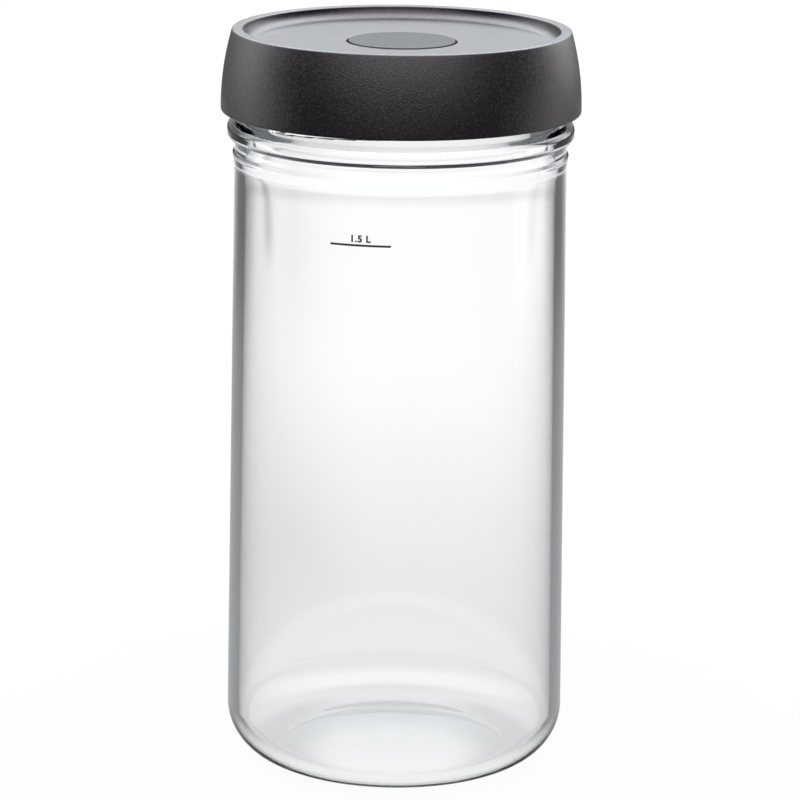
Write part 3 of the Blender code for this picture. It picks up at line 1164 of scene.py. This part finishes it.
@dataclass
class LidLiner(TurnedPart):
    """The threaded liner, with the gasket's rib and the cup that holds the valve."""

    hem: float
    top: float
    cup_under: float
    thread: ScrewThread
    bow: LidBow
    snap: SnapRing
    wall: float = 0.0016
    plate: float = 0.0016
    lead_in: float = 0.0004
    hem_round: float = 0.0004
    thread_span: float = 0.0003
    rib_r: float = 0.0493
    rib_width: float = 0.0012
    rib_drop: float = 0.0014
    cup_r: float = 0.0196
    cup_wall: float = 0.0015
    cup_floor: float = 0.0016
    cup_span: float = 0.003
    cup_foot_round: float = 0.0008
    cup_bed_round: float = 0.0004
    guide_r: float = 0.00275
    vent_r: float = 0.0013
    vent_ring_r: float = 0.0062
    vents: int = 6
    segments: int = 240
    side_steps: int = 10

    role: ClassVar[Role] = Role(Body.LID, Slot.LINER, "lid_liner")
    mesh_name: ClassVar[str] = "liner_shell"

    def corners(self) -> list[Corner]:
        """The liner's section.

        Returns:
            Its corners, from the guide hole under the cup, along the inside and back over the top.
        """
        thread = self.thread
        out_r = thread.root_r + self.wall
        under = self.top - self.plate
        cup_out = self.cup_r + self.cup_wall
        cup_bed = self.cup_under + self.cup_floor
        rib_under = under - self.rib_drop
        rib_in = self.rib_r - self.rib_width
        seat_r = out_r - self.bow.drawn_in(under) - self.wall
        thread_top = thread.first_z + thread.lead * thread.turns + thread.base_width
        return [
            Corner(self.guide_r, self.cup_under, FINE),
            Corner(cup_out, self.cup_under, self.cup_foot_round, self.cup_span),
            Corner(cup_out, under, SOFT),
            Corner(rib_in, under, BROKEN),
            Corner(rib_in, rib_under, BROKEN),
            Corner(self.rib_r, rib_under, BROKEN),
            Corner(self.rib_r, under),
            Corner(seat_r, under),
            Corner(thread.root_r, thread_top),
            Corner(thread.root_r, self.hem + self.lead_in, 0, self.thread_span),
            Corner(thread.root_r + self.lead_in, self.hem),
            Corner(out_r, self.hem, self.hem_round),
            *self.snap.corners(out_r),
            *self.bow.side(out_r, self.snap.above(), self.top - self.plate / 2, self.side_steps),
            Corner(out_r - self.bow.drawn_in(self.top), self.top, SOFT),
            Corner(self.cup_r, self.top, BROKEN, FLAT_SPAN),
            Corner(self.cup_r, cup_bed, self.cup_bed_round),
            Corner(self.guide_r, cup_bed, FINE, self.cup_span),
        ]

    def relief(self) -> Relief:
        """The thread inside its wall."""
        return self.thread.relief

    def cutters(self) -> Pieces:
        """The ring of vents through the cup's floor.

        Returns:
            The vents' cutters.
        """
        cutters = []
        for vent in range(self.vents):
            angle = FULL_TURN * vent / self.vents
            low = Vector((math.cos(angle), math.sin(angle), 0)) * self.vent_ring_r
            low.z = self.cup_under - self.cup_floor
            high = low + Vector((0, 0, 3 * self.cup_floor))
            cutters.append(drill(f"vent_{vent}", self.vent_r, low, high))
        return cutters

    def finish(self) -> Finish:
        """Plain black plastic."""
        return GrainedPlastic("liner_black", (0.030, 0.029, 0.030), (0.045, 0.044, 0.045), 0.45)


@dataclass
class VentButton(TurnedPart):
    """The vent button, with its flange, hub and hollow stem."""

    flange_r: float
    top: float
    stem_end: float
    recess_floor: float
    flange: float = 0.0015
    proud: float = 0.00035
    face: float = 0.0018
    edge: float = 0.00045
    skirt_wall: float = 0.0014
    flange_top_drop: float = 0.0023
    flange_thick: float = 0.0012
    hub_r: float = 0.0040
    hub_drop: float = 0.0090
    stem_r: float = 0.0024
    stem_wall: float = 0.0011
    groove: float = 0.0005
    groove_height: float = 0.0012
    foot: float = 0.0012
    port_r: float = 0.0008
    port_drop: float = 0.0003
    segments: int = 160

    role: ClassVar[Role] = Role(Body.BUTTON, Slot.BUTTON, "vent_button")
    mesh_name: ClassVar[str] = "button_body"
    closed: ClassVar[bool] = False

    def __post_init__(self) -> None:
        """Works out the places that follow from the sizes."""
        self.under = self.top - self.face
        self.bore_top = self.under - self.face

    def corners(self) -> list[Corner]:
        """The button's section.

        Returns:
            Its corners, from the axis on its face, down the outside and up the bore of the stem.
        """
        out_r = self.flange_r - self.flange
        skirt_in = out_r - self.skirt_wall
        flange_top = self.recess_floor - self.flange_top_drop
        flange_under = flange_top - self.flange_thick
        hub_end = self.recess_floor - self.hub_drop
        groove_r = self.stem_r - self.groove
        groove_low = self.stem_end + self.foot
        groove_high = groove_low + self.groove_height
        bore_r = self.stem_r - self.stem_wall
        return [
            Corner(0, self.top),
            Corner(out_r, self.top, self.edge, FLAT_SPAN),
            Corner(out_r, flange_top, FINE),
            Corner(self.flange_r, flange_top, BROKEN),
            Corner(self.flange_r, flange_under, BROKEN),
            Corner(skirt_in, flange_under, BROKEN),
            Corner(skirt_in, self.under, SOFT),
            Corner(self.hub_r, self.under, SOFT, FLAT_SPAN),
            Corner(self.hub_r, hub_end, BROKEN),
            Corner(self.stem_r, hub_end, FINE),
            Corner(self.stem_r, groove_high, CRISP),
            Corner(groove_r, groove_high, CRISP),
            Corner(groove_r, groove_low, CRISP),
            Corner(self.stem_r, groove_low, CRISP),
            Corner(self.stem_r, self.stem_end, BROKEN),
            Corner(bore_r, self.stem_end, FINE),
            Corner(bore_r, self.bore_top, FINE),
            Corner(0, self.bore_top),
        ]

    def cutters(self) -> Pieces:
        """The gas port into the hollow stem."""
        port_z = self.bore_top - self.port_drop - self.port_r
        return [drill("gas_port", self.port_r, Vector((0, 0, port_z)), Vector((2 * self.hub_r, 0, port_z)))]

    def finish(self) -> Finish:
        """Matte black plastic."""
        black, worn = (0.010, 0.010, 0.0105), (0.028, 0.028, 0.029)
        return GrainedPlastic("button_matte_black", black, worn, 0.33, grain_depth=0.0001, specular=0.10)


@dataclass
class ValveSeal(TurnedPart):
    """The silicone seal on the stem's foot, with its lip and its relief slit."""

    out_r: float
    under: float
    lip_top: float
    lip_rise: float = 0.0005
    lip_width: float = 0.0009
    disc: float = 0.0010
    disc_round: float = 0.0004
    hub_r: float = 0.0040
    bore_r: float = 0.0027
    grip_r: float = 0.0022
    base: float = 0.0009
    grip_low: float = 0.0024
    grip_high: float = 0.0033
    slit_length: float = 0.0020
    slit_width: float = 0.0004
    segments: int = 128

    role: ClassVar[Role] = Role(Body.BUTTON, Slot.VALVE, "valve_seal")
    mesh_name: ClassVar[str] = "seal_disc"
    closed: ClassVar[bool] = False

    def corners(self) -> list[Corner]:
        """The seal's section.

        Returns:
            Its corners, from the axis under it, round the disc and down into the bore.
        """
        disc_top = self.lip_top - self.lip_rise
        disc_under = disc_top - self.disc
        lip_in = self.out_r - self.lip_width
        return [
            Corner(0, self.under),
            Corner(self.hub_r, self.under, SOFT),
            Corner(self.hub_r, disc_under, self.disc_round),
            Corner(self.out_r, disc_under, self.disc_round),
            Corner(self.out_r, self.lip_top, BROKEN),
            Corner(lip_in, self.lip_top, FINE),
            Corner(lip_in, disc_top, FINE),
            Corner(self.bore_r, disc_top, CRISP),
            Corner(self.bore_r, self.under + self.grip_high),
            Corner(self.grip_r, self.under + self.grip_high, CRISP),
            Corner(self.grip_r, self.under + self.grip_low, CRISP),
            Corner(self.bore_r, self.under + self.grip_low),
            Corner(self.bore_r, self.under + self.base),
            Corner(0, self.under + self.base),
        ]

    def cutters(self) -> Pieces:
        """The relief slit through the seal's floor.

        Returns:
            The slit's cutter.
        """
        mesh = bmesh.new()
        bmesh.ops.create_cube(mesh, size=1)
        bmesh.ops.scale(mesh, vec=(self.slit_length, self.slit_width, 3 * self.base), verts=mesh.verts)
        bmesh.ops.translate(mesh, vec=(0, 0, self.under + self.base / 2), verts=mesh.verts)
        return [linked("relief_slit", mesh)]

    def finish(self) -> Finish:
        """Pale silicone."""
        return Silicone("valve_silicone_finish", (0.68, 0.69, 0.68), (0.76, 0.76, 0.75))


@dataclass
class ButtonSpring(Part):
    """The compression spring under the button, its end turns closed."""

    out_r: float
    low: float
    high: float
    travel: float
    wire_r: float = 0.00045
    turns: float = 4.5
    end_turn: float = 0.75
    end_ease: float = 0.15
    turn_points: int = 28
    sides: int = 12

    role: ClassVar[Role] = Role(Body.LID, Slot.SPRING, "button_spring")

    def centre_line(self) -> list[Vector]:
        """The middle of the wire, which lies flat for part of a turn at each end.

        Returns:
            Places along the wire, from its lower end up.
        """
        radius = self.out_r - self.wire_r
        bottom = self.low + self.wire_r
        rise = self.high - self.wire_r - bottom
        places = []
        for step in range(round(self.turns * self.turn_points) + 1):
            gone = step / self.turn_points
            lift = min(max((gone - self.end_turn) / (self.turns - 2 * self.end_turn), 0), 1)
            slope = eased(lift) * self.end_ease + lift * (1 - self.end_ease)
            angle = FULL_TURN * gone
            place = (radius * math.cos(angle), radius * math.sin(angle), bottom + rise * slope)
            places.append(Vector(place))
        return places

    def build(self) -> Pieces:
        """Sweeps the wire along its coil.

        Returns:
            The spring, in a list.
        """
        mesh = bmesh.new()
        places = self.centre_line()
        rings = []
        for index, place in enumerate(places):
            along = (places[min(index + 1, len(places) - 1)] - places[max(index - 1, 0)]).normalized()
            out = Vector((place.x, place.y, 0)).normalized()
            up = along.cross(out).normalized()
            out = up.cross(along).normalized()
            angles = [FULL_TURN * side / self.sides for side in range(self.sides)]
            ring = [place + (out * math.cos(a) + up * math.sin(a)) * self.wire_r for a in angles]
            rings.append([mesh.verts.new(corner) for corner in ring])
        join_rings(mesh, rings, self.sides)
        mesh.faces.new(rings[0])
        mesh.faces.new(rings[-1])
        return [solid("spring_coil", mesh)]

    def finish(self) -> Finish:
        """Bright drawn wire."""
        marks = {"size": 0.0009, "detail": 4.0, "edges": (0.35, 0.7), "spread": 0.3, "depth": 0.000004}
        return MarkedSurface("drawn_wire", (0.62, 0.61, 0.58), (0.42, 0.41, 0.39), 0.12, metal=1.0, **marks)

    def dress(self, pieces: Pieces) -> None:
        """Dresses the spring, and gives it its own copy of its mesh.

        Args:
            pieces: The spring, in a list.
        """
        super().dress(pieces)
        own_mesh(pieces[0])


# Studio


@dataclass(frozen=True)
class Softbox:
    """An upright soft lamp beside the jar."""

    name: str
    azimuth: float
    distance: float
    low: float
    high: float
    width: float
    radiance: float

    def build(self) -> None:
        """Builds the lamp, facing the jar's axis."""
        height = self.high - self.low
        lamp = bpy.data.lights.new(self.name, "AREA")
        lamp.shape = "RECTANGLE"
        lamp.size = self.width
        lamp.size_y = height
        lamp.energy = self.radiance * math.pi * self.width * height
        thing = bpy.data.objects.new(self.name, lamp)
        place = Vector((math.sin(self.azimuth), -math.cos(self.azimuth), 0)) * self.distance
        place.z = (self.low + self.high) / 2
        thing.location = place
        thing.rotation_euler = (Vector((0, 0, place.z)) - place).to_track_quat("-Z", "Y").to_euler()
        thing.visible_camera = False
        thing.visible_glossy = False
        thing.visible_transmission = False
        bpy.context.scene.collection.objects.link(thing)


class Rays:
    """The kinds of ray that reach the stage, told apart by the Light Path node."""

    def __init__(self, tree: Tree) -> None:
        """Reads the kinds: seen by the camera, straight through glass, bent by a mirroring, glossy, plain.

        Args:
            tree: The tree of the world or of a stage material.
        """
        path = tree.node("ShaderNodeLightPath").outputs
        through = Value(tree, path["Is Transmission Ray"])
        mirrored = Value(tree, path["Glossy Depth"]).over(0.5)
        self.camera = Value(tree, path["Is Camera Ray"])
        self.straight = through * (1.0 - mirrored)
        self.bent = through * mirrored
        self.gloss = Value(tree, path["Is Glossy Ray"]) * (1.0 - through)
        self.plain = 1.0 - self.camera - self.straight - self.bent - self.gloss


@dataclass(frozen=True)
class Surround:
    """What glossy surfaces mirror, by how far behind the jar a direction points (-1 front, 1 back)."""

    strip_lean: float = 0.15
    strip_rise: Ramp = (0.1, 0.5, 0.06, 3.2)
    strip_fall: Ramp = (0.66, 0.86, 0.0, -2.7)
    front_foot: Ramp = (0.24, 0.34, 0.0, 4.6)
    front_top: Ramp = (0.5, 0.75, 1.0, 0.0)
    front_side: Ramp = (-0.9, -0.5, 1.0, 0.0)
    above: Ramp = (0.42, 0.84, 0.0, 9.5)
    above_at: float = math.radians(76)
    far_rise: Ramp = (-0.28, 0.02, 0.15, 1.9)
    far_fall: Ramp = (0.36, 0.56, 0.0, -1.6)
    far_back: Ramp = (0.80, 0.985, 0.0, 0.65)
    near: Ramp = (-0.6, 0.6, 0.15, 0.62)
    near_to_far: Ramp = (0.58, 1.00)
    hem_front: Ramp = (-0.95, -0.6, 1.0, 0.0)
    hem_front_from: Ramp = (1.1, 1.8, 0.0, 0.8)
    hem_back: Ramp = (0.8, 0.98)
    hem_back_from: Ramp = (1.1, 1.5, 0.0, -0.8)

    def sky(self, behind: Value, side: Value, back: Value, height: Value) -> Value:
        """The brightness of a direction that misses the floor.

        Args:
            behind: How far behind the jar the direction points, seen from above.
            side: How far to its right the direction points, seen from above.
            back: The direction's own part towards the back.
            height: How steeply it points up.

        Returns:
            The brightness.
        """
        leaning = behind - side * self.strip_lean
        strips = leaning.ramp(*self.strip_rise) + leaning.ramp(*self.strip_fall)
        front = height.ramp(*self.front_foot) * height.ramp(*self.front_top) * behind.ramp(*self.front_side)
        towards = back * math.cos(self.above_at) + height * math.sin(self.above_at)
        return strips + front + towards.ramp(*self.above)

    def floor(self, behind: Value, distance: Value) -> Value:
        """The brightness of a place on the floor.

        Args:
            behind: How far behind the jar the place lies.
            distance: How far off it lies.

        Returns:
            The brightness.
        """
        far = behind.ramp(*self.far_rise) + behind.ramp(*self.far_fall) + behind.ramp(*self.far_back)
        share = distance.ramp(*self.near_to_far)
        front = distance.ramp(*self.hem_front_from) * behind.ramp(*self.hem_front)
        back = distance.ramp(*self.hem_back_from) * behind.ramp(*self.hem_back)
        return far * share + behind.ramp(*self.near) * (1.0 - share) + front + back


@dataclass(frozen=True)
class Table:
    """Painted shade and painted light on the floor, seen straight through the glass, by distance and
    direction from the axis.
    """

    # Painted shade and light: the floor is darker near the jar, with a painted lit spot under the base,
    # painted shade at the base's flanks and painted light behind its heel
    level: Ramp = (0.08, 0.60, 0.92, 1.17)
    lit_spot_at: tuple[float, float, float] = (0.0, -0.014, 0.0)
    lit_spot: Ramp = (0.024, 0.034, 0.10, 0.0)
    flank_shade: Ramp = (0.015, 0.035, 0.0, 0.16)
    flank_shade_to: Ramp = (0.045, 0.055, 1.0, 0.0)
    heel: Ramp = (0.058, 0.066, 0.0, 0.15)
    heel_to: Ramp = (0.072, 0.090, 1.0, 0.0)
    heel_back: Ramp = (0.5, 1.0)
    # Painted shade behind the jar: a band about a metre off, darker sides and a seam
    dip: Ramp = (0.96, 1.09, 0.0, 0.14)
    dip_to: Ramp = (1.10, 1.25, 1.0, 0.0)
    dip_beside: float = 2.0
    left: Ramp = (-0.02, 0.06, 1.0, 0.0)
    sides: Ramp = (0.03, 0.22, 0.0, 0.25)
    sides_near: Ramp = (0.10, 0.28, 0.0, 0.4)
    sides_far: Ramp = (0.55, 0.90, 0.0, 0.6)
    seam: Ramp = (0.162, 0.192, 0.0, 0.32)
    seam_to: Ramp = (0.192, 0.222, 1.0, 0.0)
    seam_from: Ramp = (0.75, 0.9)
    seam_right: float = 0.4
    shade_behind: Ramp = (0.8, 0.9)
    shade_to: Ramp = (1.3, 2.6, 1.0, 0.0)

    def glow(self, tree: Tree, place: Socket, distance: Value) -> Value:
        """The brightness of a place on the floor, seen straight through the glass, with painted shade and
        painted light in it.

        Args:
            tree: The floor's tree.
            place: The place.
            distance: How far off it lies.

        Returns:
            The brightness.
        """
        x, y, _ = tree.axes(place)
        behind, beside = y / distance, x.math("ABSOLUTE") / distance
        measure, ends = {"operation": "DISTANCE"}, {0: place, 1: self.lit_spot_at}
        lit_spot = tree.value("ShaderNodeVectorMath", 1, settings=measure, sockets=ends)
        # Painted shade at the base's flanks and further off behind the jar, and painted light on a spot
        # under the base and behind the heel
        flank_shade = x.math("ABSOLUTE").ramp(*self.flank_shade) * distance.ramp(*self.flank_shade_to)
        heel = distance.ramp(*self.heel) * distance.ramp(*self.heel_to) * behind.ramp(*self.heel_back)
        dip = distance.ramp(*self.dip) * distance.ramp(*self.dip_to) * (beside * self.dip_beside + 1.0)
        left = (x / distance).ramp(*self.left)
        sides = distance.ramp(*self.sides_near) + distance.ramp(*self.sides_far)
        sides = beside.ramp(*self.sides) * left * sides
        seam = beside.ramp(*self.seam) * beside.ramp(*self.seam_to) * distance.ramp(*self.seam_from)
        seam = seam * (left * (1.0 - self.seam_right) + self.seam_right)
        shade = (dip + sides + seam) * behind.ramp(*self.shade_behind) * distance.ramp(*self.shade_to)
        return distance.ramp(*self.level) + lit_spot.ramp(*self.lit_spot) - flank_shade + heel - shade


@dataclass(frozen=True)
class Studio:
    """A plain pale stage: a floor that keeps the shadow, a white surround and soft lamps."""

    floor_r: float = 8.0
    floor_sides: int = 96
    floor_white: float = 1.02
    floor_colour: Colour = (0.9, 0.9, 0.9)
    shadow: Ramp = (0.104, 0.26, 0.07, 0.0)
    table: Table = Table()
    # Painted light on the floor for rays mirrored inside the glass, brightest close round the jar
    bent: Ramp = (0.10, 0.85, 0.25, 0.13)
    bent_under: Ramp = (0.045, 0.075, 0.73, 0.0)
    ambient: float = 0.50
    backdrop: float = 1.17
    sky_bent: Ramp = (-0.2, 0.7, 0.50, 0.85)
    white: Colour = (1.0, 1.0, 1.0)
    cool: Colour = (0.88, 0.94, 1.0)
    cool_from: Ramp = (0.06, 0.12)
    lamp_cool: Colour = (0.90, 0.965, 1.0)
    lamp_height: Ramp = (0.25, 0.45)
    lamp_behind: Ramp = (-0.5, 0.0)
    level_least: float = 1e-6
    surround: Surround = Surround()
    lamps: tuple[Softbox, ...] = (
        Softbox("left_softbox", math.radians(-100), 0.60, 0.10, 0.70, 0.30, 2.0),
        Softbox("right_softbox", math.radians(100), 0.60, 0.10, 0.70, 0.30, 2.0),
        Softbox("front_softbox", math.radians(8), 1.50, 0.70, 1.40, 0.9, 1.0),
    )

    def floor(self) -> None:
        """Builds the floor, which shows white and keeps a soft shadow near the jar; through the glass it
        shows painted shade and painted light.
        """
        mesh = bmesh.new()
        bmesh.ops.create_circle(mesh, cap_ends=True, segments=self.floor_sides, radius=self.floor_r)
        floor = linked("stage_floor", mesh)
        made = bpy.data.materials.new("stage_floor")
        tree = Tree(made)
        rays = Rays(tree)
        place = tree.node("ShaderNodeNewGeometry").outputs["Position"]
        measure = {"operation": "LENGTH"}
        distance = tree.value("ShaderNodeVectorMath", 1, settings=measure, sockets={0: place})
        behind = tree.axes(place)[1] / distance
        # Through the glass the floor shows painted shade and painted light
        white = rays.camera * self.floor_white + rays.straight * self.table.glow(tree, place, distance)
        gloss = rays.gloss * self.surround.floor(behind, distance)
        # Painted light: rays mirrored inside the glass see the floor brighter close round the jar, and cool
        # further off
        bent = rays.bent * (distance.ramp(*self.bent) + distance.ramp(*self.bent_under))
        colour = tree.mix(rays.bent * distance.ramp(*self.cool_from), self.white, self.cool)
        glow = {"Color": colour, "Strength": white + gloss + bent}
        emission = tree.node("ShaderNodeEmission", sockets=glow)
        diffuse = tree.node("ShaderNodeBsdfDiffuse", sockets={"Color": self.floor_colour})
        share = rays.plain + rays.camera * distance.ramp(*self.shadow)
        sockets = {0: share, 1: emission.outputs[0], 2: diffuse.outputs[0]}
        mixed = tree.node("ShaderNodeMixShader", sockets=sockets)
        tree.node("ShaderNodeOutputMaterial", sockets={"Surface": mixed.outputs[0]})
        floor.data.materials.append(made)

    def world(self) -> None:
        """Sets the surround: white to the camera and through the glass, and plain light on the jar."""
        world = bpy.data.worlds.new("studio")
        bpy.context.scene.world = world
        tree = Tree(world)
        rays = Rays(tree)
        side, back, height = tree.axes(tree.node("ShaderNodeTexCoord").outputs["Generated"])
        level = (1.0 - height * height).math("MAXIMUM", self.level_least).math("SQRT")
        behind = back / level
        gloss = rays.gloss * self.surround.sky(behind, side / level, back, height)
        bent = rays.bent * behind.ramp(*self.sky_bent)
        glow = rays.camera + rays.straight * self.backdrop + bent + gloss + rays.plain * self.ambient
        lamp = rays.gloss * height.ramp(*self.lamp_height) * behind.ramp(*self.lamp_behind)
        colour = tree.mix(lamp, tree.mix(rays.bent, self.white, self.cool), self.lamp_cool)
        background = tree.node("ShaderNodeBackground", sockets={"Color": colour, "Strength": glow})
        tree.node("ShaderNodeOutputWorld", sockets={"Surface": background.outputs[0]})

    def build(self) -> None:
        """Builds the whole stage."""
        self.floor()
        self.world()
        for lamp in self.lamps:
            lamp.build()


@dataclass(frozen=True)
class StudioCamera:
    """The camera at the photograph's place, in front of the jar and above it."""

    distance: float = 1.2246
    height: float = 0.4291
    right: float = 0.0008
    pitch: float = 0.2461
    roll: float = 0.0122
    lens: float = 170.36
    sensor: float = 36.0
    clip: float = 100.0

    def build(self) -> None:
        """Builds the camera and makes it the scene's."""
        data = bpy.data.cameras.new("studio_camera")
        data.lens = self.lens
        data.sensor_width = self.sensor
        data.clip_end = self.clip
        camera = bpy.data.objects.new("studio_camera", data)
        look = Matrix.Rotation(QUARTER - self.pitch, 4, "X") @ Matrix.Rotation(self.roll, 4, "Z")
        camera.matrix_world = Matrix.Translation((self.right, -self.distance, self.height)) @ look
        bpy.context.scene.collection.objects.link(camera)
        bpy.context.scene.camera = camera


def parts() -> list[Part]:
    """The jar's sub-assemblies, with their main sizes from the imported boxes.

    Returns:
        The sub-assemblies, from the glass up.
    """
    bead_r, _, rim_z = box_of("glass_jar")
    cover_r, cover_hem, cover_top = box_of("lid_cover")
    flange_r, stem_end, button_top = box_of("vent_button")
    seal_r, seal_under, seal_top = box_of("valve_seal")
    liner_top = box_of("lid_liner")[2]
    jar = GlassJar(bead_r, rim_z)
    bow = LidBow(cover_hem)
    liner_hem = cover_hem + LINER_SHORT
    snap = SnapRing(liner_hem + SNAP_LIFT)
    button = VentButton(flange_r, button_top, stem_end, button_top - VentButton.proud)
    thread_at = (jar.root_r + THREAD_ROOM, jar.thread_angle, liner_hem + LID_THREAD_LIFT)
    thread = ScrewThread(*thread_at, LID_THREAD_TURNS, LID_THREAD_HEIGHT, LID_THREAD_REACH)
    return [
        jar,
        FillMark(jar.wall_r),
        LidGasket(*box_of("lid_gasket")),
        LidLiner(liner_hem, liner_top, seal_top + SEAL_GAP, thread, bow, snap),
        LidCover(cover_r, cover_top, flange_r - button.flange + BUTTON_GAP, bow, snap),
        button,
        ValveSeal(seal_r, seal_under, seal_top),
        ButtonSpring(*box_of("button_spring"), BUTTON_TRAVEL),
    ]


def main() -> None:
    """Builds the camera, the stage and every sub-assembly, and reports each piece."""
    logging.basicConfig(level=logging.INFO, format="%(name)s: %(message)s")
    StudioCamera().build()
    bpy.context.scene.view_settings.view_transform = "Standard"
    Studio().build()
    for part in parts():
        pieces = part.build()
        part.dress(pieces)
        for piece in pieces:
            LOG.info("%s: %s, %d faces", type(part).__name__, piece.name, len(piece.data.polygons))


if __name__ == "__main__":
    main()
